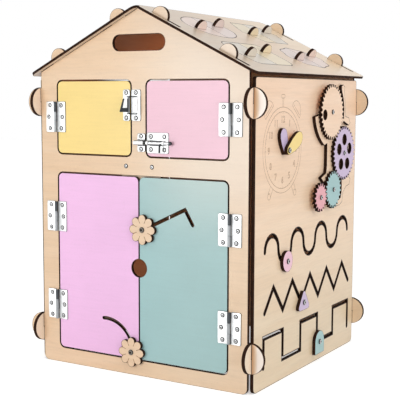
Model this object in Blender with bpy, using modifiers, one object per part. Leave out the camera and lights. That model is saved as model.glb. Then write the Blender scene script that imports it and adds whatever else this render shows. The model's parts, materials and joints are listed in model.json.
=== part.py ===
"""Wooden activity house: gabled plywood shell, hinged shutters and doors, latches, a clock,
a gear train, sliding knobs on three tracks and lift-out puzzle halves in the roof.
Metres, +Z up. The front faces -Y and the play wall faces +X. The origin lies under the middle."""
import math
import bpy
import bmesh
from mathutils import Matrix, Vector

# Sheets and fits
ply = 0.0055                # wall, door, gear and knob plywood
roof_ply = 0.004            # roof plywood
board_ply = 0.003           # backing board under the roof puzzles
sheet_metal = 0.001         # latch and bolt plates
fit_gap = 0.0003            # between pieces that rest on each other
joint_gap = 0.0003          # each side of a halved or slotted joint
overrun = 0.002             # how far a cutter or a joined root reaches past a face

# Shell
house_width = 0.410
house_depth = 0.402
roof_angle = math.radians(26.3)
roof_seat = 0.0072          # from the wall's top edge up to the roof's underside
eave_overhang = 0.0096
gable_overhang = 0.0095
corner_relief = 0.0012      # a panel stops this far inside its neighbour
panel_radius = 0.009
wall_top_radius = 0.005
roof_radius = 0.010
corner_tab_radius = 0.024
corner_tab_shares = (0.1185, 0.9185)    # of the wall's height
roof_tab_radius = 0.0155
roof_tab_shares = (0.186, 0.748)        # of the slope's length
roof_slot_run = 0.024       # free run of a roof slot past its tab
handle_length = 0.100
handle_height = 0.0258
handle_drop = 0.0585        # handle centre below the ridge

# Openings in the front
side_frame = 0.0402
post_width = 0.0268
door_sill = 0.0253
door_height = 0.3005
lintel_height = 0.0294
window_height = 0.1226
window_head = 0.0032        # from the window's top up to the wall height
opening_radius = 0.010
door_gap = 0.002
seam_gap = 0.002
finger_radius = 0.015
finger_share = 0.505        # of the door's height

# Butt hinges
hinge_height = 0.050
hinge_leaf_width = 0.020
hinge_metal = 0.0012
knuckle_radius = 0.0026
pin_radius = 0.0011
hinge_play = 0.0003
hinge_set = 0.0022          # the axis lies this far outside the opening
hinge_screw_rise = 0.019
hinge_screw_reach = 0.0117
hinge_middle_reach = 0.0143
window_hinge_share = 0.505  # of the window's height
door_hinge_shares = (0.25, 0.75)

# Small screws
screw_head_radius = 0.0027
screw_head_height = 0.0010
screw_shank_radius = 0.0012
screw_bite = 0.0045         # of a long screw in the piece behind

# Machine bolts with a washer and nut behind
bolt_shaft_radius = 0.0019
bolt_head_radius = 0.0045
bolt_head_height = 0.0022
bolt_socket_radius = 0.0018
bolt_socket_depth = 0.0012
washer_radius = 0.009
washer_thickness = 0.0016
slot_width = 0.0054         # of every track that a bolt runs in

# Draw latch on the yellow shutter
latch_height = 0.049
latch_share = 0.67          # of the window's height
latch_base_width = 0.0125
latch_screw_rise = 0.020
latch_inset = 0.0012        # from the shutter's edge
latch_ear_rise = 0.0120
latch_ear_reach = 0.0055
latch_pivot_out = 0.0040
latch_pivot_radius = 0.0008
lever_length = 0.0070
lever_height = 0.0220
lever_slant = 0.0055        # the lower corner reaches this much further
lever_angle = math.radians(50)
bail_wire = 0.0008
bail_reach = 0.0215
bail_half_height = 0.0136
bail_rise = math.radians(8)
strike_width = 0.0170
plate_corner = 0.0025
hook_width = 0.0200
hook_out = 0.0036
hook_run = 0.0060

# Slide bolt on the pink shutter
slide_share = 0.1915        # of the window's height
slide_plate_width = 0.040
slide_plate_height = 0.032
slide_plate_inset = 0.0012
slide_screw_inset = 0.0075
slide_screw_rise = 0.0102
rod_radius = 0.0025
rod_out = 0.0043
rod_length = 0.0440
rod_inset = 0.0004          # from the shutter's edge to the rod's tip
rod_knob_radius = 0.0029
rod_knob_length = 0.0050
guide_radius = 0.0038
guide_bore = 0.0028
guide_length = 0.0035
guide_inset = 0.0015
rod_handle_reach = 0.0290   # from the rod's tip
rod_handle_radius = 0.0015
rod_handle_drop = 0.0150
rod_travel = 0.0080
keeper_width = 0.0142
keeper_height = 0.0285
keeper_inset = 0.0009
keeper_tube_length = 0.0185
keeper_screw_rise = 0.0102

# Flower catches
flower_radius = 0.0245
flower_petals = 8
petal_share = 0.28          # petal radius as a share of the flower's
upper_flower_reach = 0.0095     # from the seam
upper_flower_share = 0.7155     # of the door's height
upper_track_run = 0.0771
upper_track_rise = 0.0363
upper_track_end_run = 0.0141
upper_track_end_drop = 0.0232
lower_flower_reach = 0.0127
lower_flower_rise = 0.0131  # from the door opening's foot
lower_track_radius = 0.0540
lower_track_start = math.radians(5)
lower_track_turn = math.radians(90)

# Door stop behind the lintel
stop_width = 0.076
stop_height = 0.034
stop_lap = 0.010            # how far it hangs behind the doors
stop_screw_reach = 0.0249

# Play wall, places along Y and Z
clock_reach = 0.103         # in front of the wall's middle
clock_drop = 0.1125          # below the wall's top
hour_length = 0.036
minute_length = 0.053
hand_half_width = 0.0120
hand_eye_radius = 0.0070
hour_angle = math.radians(18)
minute_angle = math.radians(-64)

gear_module = 0.00264
gear_teeth = (34, 34, 23, 17)
gear_names = ("gear_natural", "gear_lilac", "gear_teal", "gear_pink")
gear_bearings = (math.radians(-53.2), math.radians(-125.9), math.radians(-170.1))
gear_start_reach = 0.0627
gear_start_drop = 0.055     # below the wall's top
tooth_top_share = 0.75      # of the module
tooth_root_share = 1.0
tooth_backlash_share = 0.16
gear_bore_gap = 0.0004
natural_hole_radius = 0.0088
lilac_hole_radius = 0.0098
natural_hole_share = 0.68   # of the pitch radius
lilac_hole_share = 0.52
lilac_hole_count = 5

wave_start = -0.160
wave_clearance = 0.0363     # from the zigzag's peaks up to the wave's troughs
wave_pitch = 0.0923
wave_halves = 7             # half circles, crest and trough in turn
disc_knob_radius = 0.0170
disc_trough = 0

zigzag_start = -0.1635
zigzag_clearance = 0.0333   # from the square wave's top up to the zigzag's foot
zigzag_rise = 0.0413
zigzag_pitch = 0.0678
zigzag_count = 5
zigzag_end_share = 0.13     # of a leg, left out at each end
triangle_trough = 1
triangle_half_width = 0.0245
triangle_rise = 0.0230
triangle_drop = 0.0125
triangle_round = 0.0050

square_start = -0.1615
square_low = 0.0335
square_rise = 0.0470
square_pitch = 0.0664
square_count = 5
arch_corner = 3
arch_half_width = 0.0180
arch_rise = 0.0010
arch_drop = 0.0205

# Roof puzzles
puzzle_half_width = 0.066
puzzle_half_height = 0.040
puzzle_reach = 0.088        # from the middle, along the ridge
puzzle_row_shares = (0.288, 0.706)      # of the slope's length
puzzle_gap = 0.0006
puzzle_knob_radius = 0.0140
puzzle_knob_reach = 0.0430
puzzle_knob_step = 0.0100
board_margin = 0.014

arc_steps = 6
wave_steps = 10             # of a half circle
round_steps = 16

# Places worked out from the sizes
wall_height = door_sill + door_height + lintel_height + window_height + window_head
zigzag_low = square_low + square_rise + zigzag_clearance
wave_radius = wave_pitch / 4
wave_height = zigzag_low + zigzag_rise + wave_clearance + wave_radius
clock_height = wall_height - clock_drop
gear_start_height = wall_height - gear_start_drop
half_width = house_width / 2
half_depth = house_depth / 2
setback = ply + corner_relief
sin_roof = math.sin(roof_angle)
cos_roof = math.cos(roof_angle)
tan_roof = math.tan(roof_angle)
ridge_height = wall_height + roof_seat + half_width * tan_roof + roof_ply / cos_roof
slope_length = (half_width + eave_overhang) / cos_roof
ridge_inset = (roof_ply * sin_roof + fit_gap) / cos_roof
gable_depth = roof_ply + fit_gap
opening_edge = half_width - side_frame
post_edge = post_width / 2
door_top = door_sill + door_height
window_bottom = door_top + lintel_height
window_top = wall_height - window_head
front_face = -half_depth
finger_height = door_sill + door_height * finger_share
hinge_axis_x = opening_edge + hinge_set
hinge_axis_y = front_face - fit_gap - knuckle_radius
screw_hole_radius = screw_shank_radius + joint_gap
screw_length = ply + 2 * fit_gap + screw_bite
tab_heights = [share * wall_height for share in corner_tab_shares]
play_face = half_width + fit_gap
gear_face = play_face + ply + fit_gap
gear_radii = [gear_module * count / 2 for count in gear_teeth]
shaft_hole_radius = bolt_shaft_radius + gear_bore_gap

FRONT = Matrix.Rotation(math.pi / 2, 4, "X")
SIDE = Matrix.Rotation(math.pi / 2, 4, "Z") @ FRONT

for old in list(bpy.data.objects):
    bpy.data.objects.remove(old, do_unlink=True)
house = bpy.data.collections.new("activity_house")
bpy.context.scene.collection.children.link(house)


def material(name, colour, roughness=0.6, metallic=0.0):
    made = bpy.data.materials.new(name)
    made.use_nodes = True
    shader = made.node_tree.nodes["Principled BSDF"]
    shader.inputs["Base Color"].default_value = (*colour, 1.0)
    shader.inputs["Roughness"].default_value = roughness
    shader.inputs["Metallic"].default_value = metallic
    made.diffuse_color = (*colour, 1.0)
    return made


paints = {
    "birch": material("birch", (0.86, 0.68, 0.48)),
    "yellow": material("yellow_paint", (0.93, 0.80, 0.40), 0.4),
    "pink": material("pink_paint", (0.90, 0.60, 0.70), 0.4),
    "lilac": material("lilac_paint", (0.84, 0.60, 0.82), 0.4),
    "violet": material("violet_paint", (0.66, 0.58, 0.80), 0.4),
    "teal": material("teal_paint", (0.44, 0.66, 0.62), 0.4),
    "blue": material("blue_paint", (0.62, 0.74, 0.80), 0.4),
    "zinc": material("zinc", (0.78, 0.78, 0.80), 0.3, 1.0),
}


# Flat outlines, as lists of points in the sheet's own plane

def arc(centre, radius, start, end, steps=arc_steps):
    return [(centre[0] + radius * math.cos(start + (end - start) * i / steps),
             centre[1] + radius * math.sin(start + (end - start) * i / steps)) for i in range(steps + 1)]


def circle(centre, radius, steps=round_steps):
    return arc(centre, radius, 0, 2 * math.pi, steps)[:-1]


def rounded(left, low, right, high, radius, steps=4):
    corners = ((right, high, 0), (left, high, 1), (left, low, 2), (right, low, 3))
    points = []
    for u, v, turn in corners:
        centre = (u - math.copysign(radius, u - (left + right) / 2),
                  v - math.copysign(radius, v - (low + high) / 2))
        points += arc(centre, radius, turn * math.pi / 2, (turn + 1) * math.pi / 2, steps)
    return points


def mirrored(points):
    return [(-u, v) for u, v in reversed(points)]


def track(points, width):
    """Outline of a slot that follows the points, with mitred bends and round ends."""
    path = [Vector(point) for point in points]
    runs = [(b - a).normalized() for a, b in zip(path, path[1:])]
    sides = []
    for i, point in enumerate(path):
        before = runs[max(i - 1, 0)]
        after = runs[min(i, len(runs) - 1)]
        bisector = (before + after).normalized()
        across = Vector((-bisector.y, bisector.x))
        stretch = width / 2 / max(across.dot(Vector((-after.y, after.x))), 0.3)
        sides.append(across * stretch)
    first = math.atan2(sides[0].y, sides[0].x)
    last = math.atan2(-sides[-1].y, -sides[-1].x)
    left = [tuple(p + s) for p, s in zip(path, sides)][1:-1]
    right = [tuple(p - s) for p, s in zip(path, sides)][1:-1]
    head = arc(path[0], width / 2, first, first + math.pi, 6)
    tail = arc(path[-1], width / 2, last, last + math.pi, 6)
    return head + right + tail + left[::-1]


def tab(edge, centre, radius, slit_low, slit_high, from_below):
    """Half disc on a vertical edge, bottom to top, with the slit that its crossing mate fills."""
    start = math.acos((edge - centre[0]) / radius)
    inner = math.acos((slit_low - centre[0]) / radius)
    outer = math.acos((slit_high - centre[0]) / radius)
    if from_below:
        foot = centre[1] + joint_gap
        return (arc(centre, radius, -start, -inner, 1) + [(slit_low, foot), (slit_high, foot)]
                + arc(centre, radius, -outer, start, round_steps))
    foot = centre[1] - joint_gap
    return (arc(centre, radius, -start, outer, round_steps) + [(slit_high, foot), (slit_low, foot)]
            + arc(centre, radius, inner, start, 1))


def tabbed_edge(edge, outer_face, from_below):
    points = []
    for height in tab_heights:
        points += tab(edge, (outer_face - ply / 2, height), corner_tab_radius,
                      outer_face - ply - joint_gap, outer_face + joint_gap, from_below)
    return points


# Solids

def finish(obj, paint):
    mesh = obj.data
    mesh.materials.clear()
    mesh.materials.append(paints[paint])
    mesh.shade_smooth()
    mesh.set_sharp_from_angle(angle=math.radians(30))
    return obj


def mesh_object(name, work, place=Matrix()):
    bmesh.ops.recalc_face_normals(work, faces=work.faces)
    mesh = bpy.data.meshes.new(name)
    work.to_mesh(mesh)
    work.free()
    obj = bpy.data.objects.new(name, mesh)
    obj.matrix_world = place
    house.objects.link(obj)
    return obj


def settle(obj):
    """Turns a curve or a stack of modifiers into one welded mesh."""
    bpy.context.view_layer.update()
    evaluated = obj.evaluated_get(bpy.context.evaluated_depsgraph_get())
    mesh = bpy.data.meshes.new_from_object(evaluated)
    work = bmesh.new()
    work.from_mesh(mesh)
    bmesh.ops.remove_doubles(work, verts=work.verts, dist=0.000001)
    bmesh.ops.dissolve_degenerate(work, edges=work.edges, dist=0.000001)
    name, place = obj.name, obj.matrix_world.copy()
    bpy.data.objects.remove(obj, do_unlink=True)
    return mesh_object(name, work, place)


def sheet(name, loops, thickness, place, paint="birch"):
    """A flat outline with holes, centred on its own mid plane."""
    curve = bpy.data.curves.new(name, "CURVE")
    curve.dimensions = "2D"
    curve.fill_mode = "BOTH"
    curve.extrude = thickness / 2
    for loop in loops:
        spline = curve.splines.new("POLY")
        spline.points.add(len(loop) - 1)
        for point, (u, v) in zip(spline.points, loop):
            point.co = (u, v, 0, 1)
        spline.use_cyclic_u = True
    obj = bpy.data.objects.new(name, curve)
    obj.matrix_world = place
    house.objects.link(obj)
    return finish(settle(obj), paint)


def box(low, high):
    work = bmesh.new()
    size = Vector(high) - Vector(low)
    middle = (Vector(high) + Vector(low)) / 2
    bmesh.ops.create_cube(work, size=1, matrix=Matrix.Translation(middle) @ Matrix.Diagonal((*size, 1)))
    return mesh_object("tool", work)


def rod(start, end, radius, steps=10):
    start, end = Vector(start), Vector(end)
    turn = (end - start).to_track_quat("Z", "Y").to_matrix().to_4x4()
    work = bmesh.new()
    bmesh.ops.create_cone(work, cap_ends=True, segments=steps, radius1=radius, radius2=radius,
                          depth=(end - start).length, matrix=Matrix.Translation((start + end) / 2) @ turn)
    return mesh_object("tool", work)


def turned(profile, place, steps):
    """A closed turned shape; the profile runs down its outer side, from the axis to the axis."""
    mesh = bpy.data.meshes.new("turned")
    mesh.from_pydata([(r, 0, z) for r, z in profile], [(i, i + 1) for i in range(len(profile) - 1)], [])
    obj = bpy.data.objects.new("turned", mesh)
    obj.matrix_world = place
    house.objects.link(obj)
    screw = obj.modifiers.new("screw", "SCREW")
    screw.steps = steps
    screw.render_steps = steps
    screw.use_merge_vertices = True
    screw.merge_threshold = 0.00001
    return settle(obj)


def combine(name, base, tools, operation, paint="zinc"):
    for tool in tools:
        step = base.modifiers.new(operation.lower(), "BOOLEAN")
        step.operation = operation
        step.object = tool
    base = settle(base)
    for tool in tools:
        bpy.data.objects.remove(tool, do_unlink=True)
    base.name = name
    return finish(base, paint)


def set_origin(obj, point):
    """Moves the object's origin to the point and leaves the mesh where it is."""
    target = Matrix.Translation(point)
    obj.data.transform(target.inverted() @ obj.matrix_world)
    obj.matrix_world = target
    return obj


def front_place(y, x=0, z=0):
    return Matrix.Translation((x, y, z)) @ FRONT


def side_place(x, y=0, z=0):
    return Matrix.Translation((x, y, z)) @ SIDE


def roof_place(height, side=1):
    """Sheet frame on a slope: u along the ridge, v up the slope from the ridge line, height above it."""
    along = Vector((0, side, 0))
    up = Vector((-side * cos_roof, 0, sin_roof))
    out = Vector((side * sin_roof, 0, cos_roof))
    turn = Matrix((along, up, out)).transposed().to_4x4()
    return Matrix.Translation(Vector((0, 0, ridge_height)) + out * height) @ turn


# Shell

def gable_half():
    """Right half of a gabled panel's outline, from the foot's middle to the apex."""
    edge = half_width - setback
    down = (cos_roof, -sin_roof)
    out = (sin_roof, cos_roof)
    points = arc((edge - panel_radius, panel_radius), panel_radius, -math.pi / 2, 0)
    points += tabbed_edge(edge, half_width, True)
    apex = ridge_height - gable_depth / cos_roof
    points.append((edge, apex - edge * tan_roof))
    dip = math.asin(gable_depth / roof_tab_radius)
    for share in reversed(roof_tab_shares):
        reach = share * slope_length
        centre = (reach * down[0], ridge_height + reach * down[1])
        for u, v in arc((0, 0), roof_tab_radius, -dip, math.pi + dip, 12):
            points.append((centre[0] + u * down[0] + v * out[0], centre[1] + u * down[1] + v * out[1]))
    points.append((0, apex))
    return points


def gable_outline():
    right = gable_half()
    return right[:-1] + mirrored(right)


def handle_hole():
    middle = ridge_height - handle_drop
    return rounded(-handle_length / 2, middle - handle_height / 2, handle_length / 2,
                   middle + handle_height / 2, handle_height / 2 - overrun / 4)


def hinge_heights():
    heights = {"window": [window_bottom + window_height * window_hinge_share]}
    heights["door"] = [door_sill + door_height * share for share in door_hinge_shares]
    return heights


latch_middle = window_bottom + window_height * latch_share
slide_middle = window_bottom + window_height * slide_share
latch_base_right = -post_edge - door_gap - latch_inset
latch_screw_x = latch_base_right - latch_base_width / 2
strike_left = -post_edge + latch_inset / 2
strike_screw_x = strike_left + strike_width / 2
slide_left = post_edge + door_gap + slide_plate_inset
slide_right = slide_left + slide_plate_width
keeper_right = post_edge - keeper_inset
keeper_screw_x = keeper_right - keeper_width / 2
stop_screw_z = door_top + lintel_height / 2

latch_screws = [(latch_screw_x, latch_middle + side * latch_screw_rise) for side in (-1, 1)]
strike_screws = [(strike_screw_x, latch_middle + side * latch_screw_rise) for side in (-1, 1)]
slide_screws = [(x, slide_middle + side * slide_screw_rise) for side in (-1, 1)
                for x in (slide_left + slide_screw_inset, slide_right - slide_screw_inset)]
keeper_screws = [(keeper_screw_x, slide_middle + side * keeper_screw_rise) for side in (-1, 1)]
stop_screws = [(side * stop_screw_reach, stop_screw_z) for side in (-1, 1)]


def build_gables():
    holes = [rounded(-opening_edge, window_bottom, -post_edge, window_top, opening_radius),
             rounded(post_edge, window_bottom, opening_edge, window_top, opening_radius),
             rounded(-opening_edge, door_sill, opening_edge, door_top, opening_radius),
             handle_hole()]
    holes += [circle(place, screw_hole_radius, 8) for place in stop_screws]
    sheet("front_panel", [gable_outline()] + holes, ply, front_place(front_face + ply / 2))
    sheet("back_panel", [gable_outline(), handle_hole()], ply, front_place(half_depth - ply / 2))


def wall_outline():
    edge = half_depth - setback
    right = arc((edge - panel_radius, panel_radius), panel_radius, -math.pi / 2, 0)
    right += tabbed_edge(edge, half_depth, False)
    right += arc((edge - wall_top_radius, wall_height - wall_top_radius), wall_top_radius, 0, math.pi / 2, 4)
    return right + mirrored(right)


def wave_centre(half):
    return (wave_start + (2 * half + 1) * wave_radius, wave_height)


def wave_trough(index):
    centre = wave_centre(2 * index + 1)
    return (centre[0], centre[1] - wave_radius)


def wave_track():
    """Half circles in turn above and below the middle line."""
    points = []
    for half in range(wave_halves):
        end = -math.pi if half % 2 == 0 else math.pi
        bow = arc(wave_centre(half), wave_radius, math.pi, math.pi + end, wave_steps)
        points += bow if half == 0 else bow[1:]
    return points


def zigzag_track():
    run = zigzag_pitch / 2 * zigzag_end_share
    foot_height = zigzag_low + zigzag_rise * zigzag_end_share
    points = [(zigzag_start + run, foot_height)]
    for i in range(zigzag_count):
        foot = zigzag_start + i * zigzag_pitch
        points.append((foot + zigzag_pitch / 2, zigzag_low + zigzag_rise))
        points.append((foot + zigzag_pitch, zigzag_low))
    points[-1] = (points[-1][0] - run, foot_height)
    return points


def square_track():
    points = []
    for i in range(square_count + 1):
        levels = (square_low, square_low + square_rise)
        if i % 2:
            levels = levels[::-1]
        points += [(square_start + i * square_pitch, level) for level in levels]
    return points


clock_place = (-clock_reach, clock_height)


def build_walls():
    holes = [track(wave_track(), slot_width), track(zigzag_track(), slot_width),
             track(square_track(), slot_width), circle(clock_place, shaft_hole_radius, 10)]
    sheet("right_wall", [wall_outline()] + holes, ply, side_place(half_width - ply / 2))
    sheet("left_wall", [wall_outline()], ply, side_place(-half_width + ply / 2))


def roof_slots():
    slots = []
    for side in (-1, 1):
        inner = half_depth - ply - joint_gap
        outer = half_depth + joint_gap
        for share in roof_tab_shares:
            reach = share * slope_length
            low = -(reach + roof_tab_radius + roof_slot_run)
            high = -(reach - roof_tab_radius - joint_gap)
            left, right = sorted((side * inner, side * outer))
            slots.append([(left, low), (right, low), (right, high), (left, high)])
    return slots


def puzzle_outline(kind, half_w, half_h):
    """Half of a puzzle's outline on the +u side, from its foot to its head, in its own plane."""
    points = []
    if kind == "oval":
        points = [(half_w * math.cos(a), half_h * math.sin(a)) for a in angles(16)]
    elif kind == "hexagon":
        points = [(0, -half_h), (half_w * 0.66, -half_h), (half_w, 0), (half_w * 0.66, half_h), (0, half_h)]
    elif kind == "block":
        corner = half_h * 0.45
        points = [(0, -half_h)] + arc((half_w - corner, -half_h + corner), corner, -math.pi / 2, 0, 5)
        points += arc((half_w - corner, half_h - corner), corner, 0, math.pi / 2, 5) + [(0, half_h)]
    else:
        for a in angles(24):
            swell = 0.96 + 0.04 * math.cos(8 * a)
            points.append((half_w * swell * math.cos(a), half_h * swell * math.sin(a)))
    return points


def angles(steps):
    return [-math.pi / 2 + math.pi * i / steps for i in range(steps + 1)]


puzzles = []
for row, colours, kinds in ((0, (("pink", "violet"), ("yellow", "blue")), ("oval", "hexagon")),
                            (1, (("blue", "yellow"), ("violet", "pink")), ("block", "cloud"))):
    for column in (0, 1):
        puzzles.append(((2 * column - 1) * puzzle_reach, -puzzle_row_shares[row] * slope_length,
                        kinds[column], colours[column]))


def build_roof():
    long_half = half_depth + gable_overhang
    outline = rounded(-long_half, -slope_length, long_half, -ridge_inset, roof_radius)
    sheet("left_roof", [outline] + roof_slots(), roof_ply, roof_place(-roof_ply / 2, -1))
    holes = []
    for u, v, kind, colours in puzzles:
        right = puzzle_outline(kind, puzzle_half_width, puzzle_half_height)
        holes.append([(u + a, v + b) for a, b in right[:-1] + mirrored(right)[:-1]])
    sheet("right_roof", [outline] + roof_slots() + holes, roof_ply, roof_place(-roof_ply / 2))
    reach = puzzle_reach + puzzle_half_width + board_margin
    low = -puzzle_row_shares[1] * slope_length - puzzle_half_height - board_margin
    high = -puzzle_row_shares[0] * slope_length + puzzle_half_height + board_margin
    sheet("puzzle_board", [rounded(-reach, low, reach, high, roof_radius)], board_ply,
          roof_place(-roof_ply - fit_gap - board_ply / 2))


def build_puzzles():
    piece_ply = roof_ply
    for index, (u, v, kind, colours) in enumerate(puzzles):
        for side, word, colour in ((-1, "front", colours[0]), (1, "back", colours[1])):
            half = puzzle_outline(kind, puzzle_half_width - puzzle_gap, puzzle_half_height - puzzle_gap)
            half[0] = (puzzle_gap / 2, half[0][1])
            half[-1] = (puzzle_gap / 2, half[-1][1])
            half = half if side > 0 else mirrored(half)
            knob_u = side * puzzle_knob_reach
            knob_v = side * puzzle_knob_step
            place = roof_place(-roof_ply + piece_ply / 2) @ Matrix.Translation((u, v, 0))
            piece = sheet("piece", [half], piece_ply, place)
            bow = arc((0, 0), puzzle_knob_radius, 0, math.pi, 12)
            bow += [(-puzzle_knob_radius, -overrun), (puzzle_knob_radius, -overrun)]
            stand = Matrix.Translation((knob_u, knob_v, piece_ply / 2)) @ FRONT
            knob = sheet("knob", [bow], ply, place @ stand)
            name = "puzzle_" + "abcd"[index] + "_" + word
            made = combine(name, piece, [knob], "UNION", colour)
            set_origin(made, place @ Vector((knob_u, knob_v, 0)))


# Doors and shutters

def door_outline(left, low, right, high, radius):
    return rounded(left + door_gap, low + door_gap, right - door_gap, high - door_gap, radius - door_gap)


def seam_door_outline():
    """Right-hand lower door, round at its corners, with half the finger hole at the seam."""
    left = seam_gap / 2
    right = opening_edge - door_gap
    low = door_sill + door_gap
    high = door_top - door_gap
    radius = opening_radius - door_gap
    points = arc((left + radius, low + radius), radius, math.pi, math.pi * 1.5, 4)
    points += arc((right - radius, low + radius), radius, -math.pi / 2, 0, 4)
    points += arc((right - radius, high - radius), radius, 0, math.pi / 2, 4)
    points += arc((left + radius, high - radius), radius, math.pi / 2, math.pi, 4)
    reach = math.acos(left / finger_radius)
    points += arc((0, finger_height), finger_radius, reach, -reach, 12)
    return points


upper_start = (upper_flower_reach, door_sill + door_height * upper_flower_share)
upper_bend = (upper_start[0] + upper_track_run, upper_start[1] + upper_track_rise)
upper_end = (upper_bend[0] + upper_track_end_run, upper_bend[1] - upper_track_end_drop)
lower_start = (-lower_flower_reach, door_sill + lower_flower_rise)
lower_centre = (lower_start[0] - lower_track_radius * math.cos(lower_track_start),
                lower_start[1] - lower_track_radius * math.sin(lower_track_start))


def lower_track():
    return arc(lower_centre, lower_track_radius, lower_track_start, lower_track_start + lower_track_turn, 16)


def build_doors():
    place = front_place(front_face + ply / 2)
    yellow = door_outline(-opening_edge, window_bottom, -post_edge, window_top, opening_radius)
    pink = door_outline(post_edge, window_bottom, opening_edge, window_top, opening_radius)
    teal = seam_door_outline()
    doors = (
        ("yellow_shutter", [yellow], "yellow", -1),
        ("pink_shutter", [pink], "pink", 1),
        ("lilac_door", [mirrored(teal), track(lower_track(), slot_width)], "lilac", -1),
        ("teal_door", [teal, track([upper_start, upper_bend, upper_end], slot_width)], "teal", 1),
    )
    for name, loops, paint, side in doors:
        door = sheet(name, loops, ply, place, paint)
        set_origin(door, (side * hinge_axis_x, hinge_axis_y, loops[0][0][1]))


# Screws and bolts

def screw_head(x, z, seat):
    """Round head of a screw driven along +Y, on the plane y = seat and let into its plate."""
    head = [(0, screw_head_height), (screw_head_radius * 0.6, screw_head_height),
            (screw_head_radius, screw_head_height * 0.35), (screw_head_radius, -sheet_metal / 2),
            (0, -sheet_metal / 2)]
    return turned(head, front_place(seat, x, z), 8)


def long_screw(x, z, seat):
    head = [(0, screw_head_height), (screw_head_radius * 0.6, screw_head_height),
            (screw_head_radius, screw_head_height * 0.35), (screw_head_radius, 0),
            (screw_shank_radius, 0), (screw_shank_radius, -screw_length), (0, -screw_length)]
    return turned(head, front_place(seat, x, z), 8)


def machine_bolt(name, place, grip, washer):
    """Button-head bolt with a socket, its head on the local plane z = 0, and a washer and nut below."""
    profile = [(0, bolt_head_height - bolt_socket_depth), (bolt_socket_radius, bolt_head_height - bolt_socket_depth),
               (bolt_socket_radius, bolt_head_height), (bolt_head_radius * 0.7, bolt_head_height),
               (bolt_head_radius, bolt_head_height * 0.4), (bolt_head_radius, 0), (bolt_shaft_radius, 0),
               (bolt_shaft_radius, -grip)]
    if washer:
        profile += [(washer_radius, -grip), (washer_radius, -grip - washer_thickness),
                    (bolt_head_radius, -grip - washer_thickness),
                    (bolt_head_radius * 0.9, -grip - washer_thickness - bolt_head_height)]
        profile += [(0, -grip - washer_thickness - bolt_head_height)]
    else:
        profile += [(0, -grip)]
    bolt = turned(profile, place, 10)
    bolt.name = name
    return finish(bolt, "zinc")


# Butt hinges

def hinge_leaf(kind):
    """One leaf about the Z axis through the origin, lying in +X, its back on y = knuckle_radius."""
    third = hinge_height / 6
    cleared = knuckle_radius + hinge_play
    back = knuckle_radius
    low = back - hinge_metal
    parts = []
    reach = hinge_leaf_width
    if kind == "door":
        base = box((cleared, low, -hinge_height / 2), (reach, back, hinge_height / 2))
        middle_half = third - hinge_play
        parts.append(box((pin_radius / 2, low, -middle_half), (cleared + overrun, back, middle_half)))
        knuckle = rod((0, 0, -third + hinge_play), (0, 0, third - hinge_play), knuckle_radius, 12)
        parts.append(knuckle)
    else:
        base = box((cleared, low, -hinge_height / 2), (reach, back, hinge_height / 2))
        for side in (-1, 1):
            ends = sorted((side * third, side * hinge_height / 2))
            parts.append(box((pin_radius / 2, low, ends[0]), (cleared + overrun, back, ends[1])))
            parts.append(rod((0, 0, ends[0]), (0, 0, ends[1]), knuckle_radius, 12))
        pin_half = hinge_height / 2 - overrun
        parts.append(rod((0, 0, -pin_half), (0, 0, pin_half), pin_radius, 8))
    for rise, reach in ((-hinge_screw_rise, hinge_screw_reach), (0, hinge_middle_reach),
                        (hinge_screw_rise, hinge_screw_reach)):
        parts.append(screw_head(reach, rise, low))
    leaf = combine("leaf", base, parts, "UNION")
    if kind == "door":
        bore = rod((0, 0, -hinge_height / 2), (0, 0, hinge_height / 2), pin_radius + hinge_play, 8)
        leaf = combine("leaf", leaf, [bore], "DIFFERENCE")
    mesh = leaf.data.copy()
    bpy.data.objects.remove(leaf, do_unlink=True)
    return mesh


def build_hinges():
    door_mesh = hinge_leaf("door")
    frame_mesh = hinge_leaf("frame")
    names = {("window", -1): ["yellow_hinge"], ("window", 1): ["pink_hinge"],
             ("door", -1): ["lilac_lower_hinge", "lilac_upper_hinge"],
             ("door", 1): ["teal_lower_hinge", "teal_upper_hinge"]}
    heights = hinge_heights()
    for (kind, side), words in names.items():
        for word, height in zip(words, heights[kind]):
            for leaf, mesh, facing in (("door_leaf", door_mesh, -side), ("frame_leaf", frame_mesh, side)):
                obj = bpy.data.objects.new(word + "_" + leaf, mesh.copy())
                obj.location = (side * hinge_axis_x, hinge_axis_y, height)
                if facing < 0:
                    obj.rotation_euler = (0, math.pi, 0)
                house.objects.link(obj)


# Draw latch

def metal_plate(left, low, right, high):
    """A latch or bolt plate that lies on the front, its back at the fit gap."""
    return sheet("plate", [rounded(left, low, right, high, plate_corner, 2)], sheet_metal,
                 front_place(front_face - fit_gap - sheet_metal / 2), "zinc")


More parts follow.
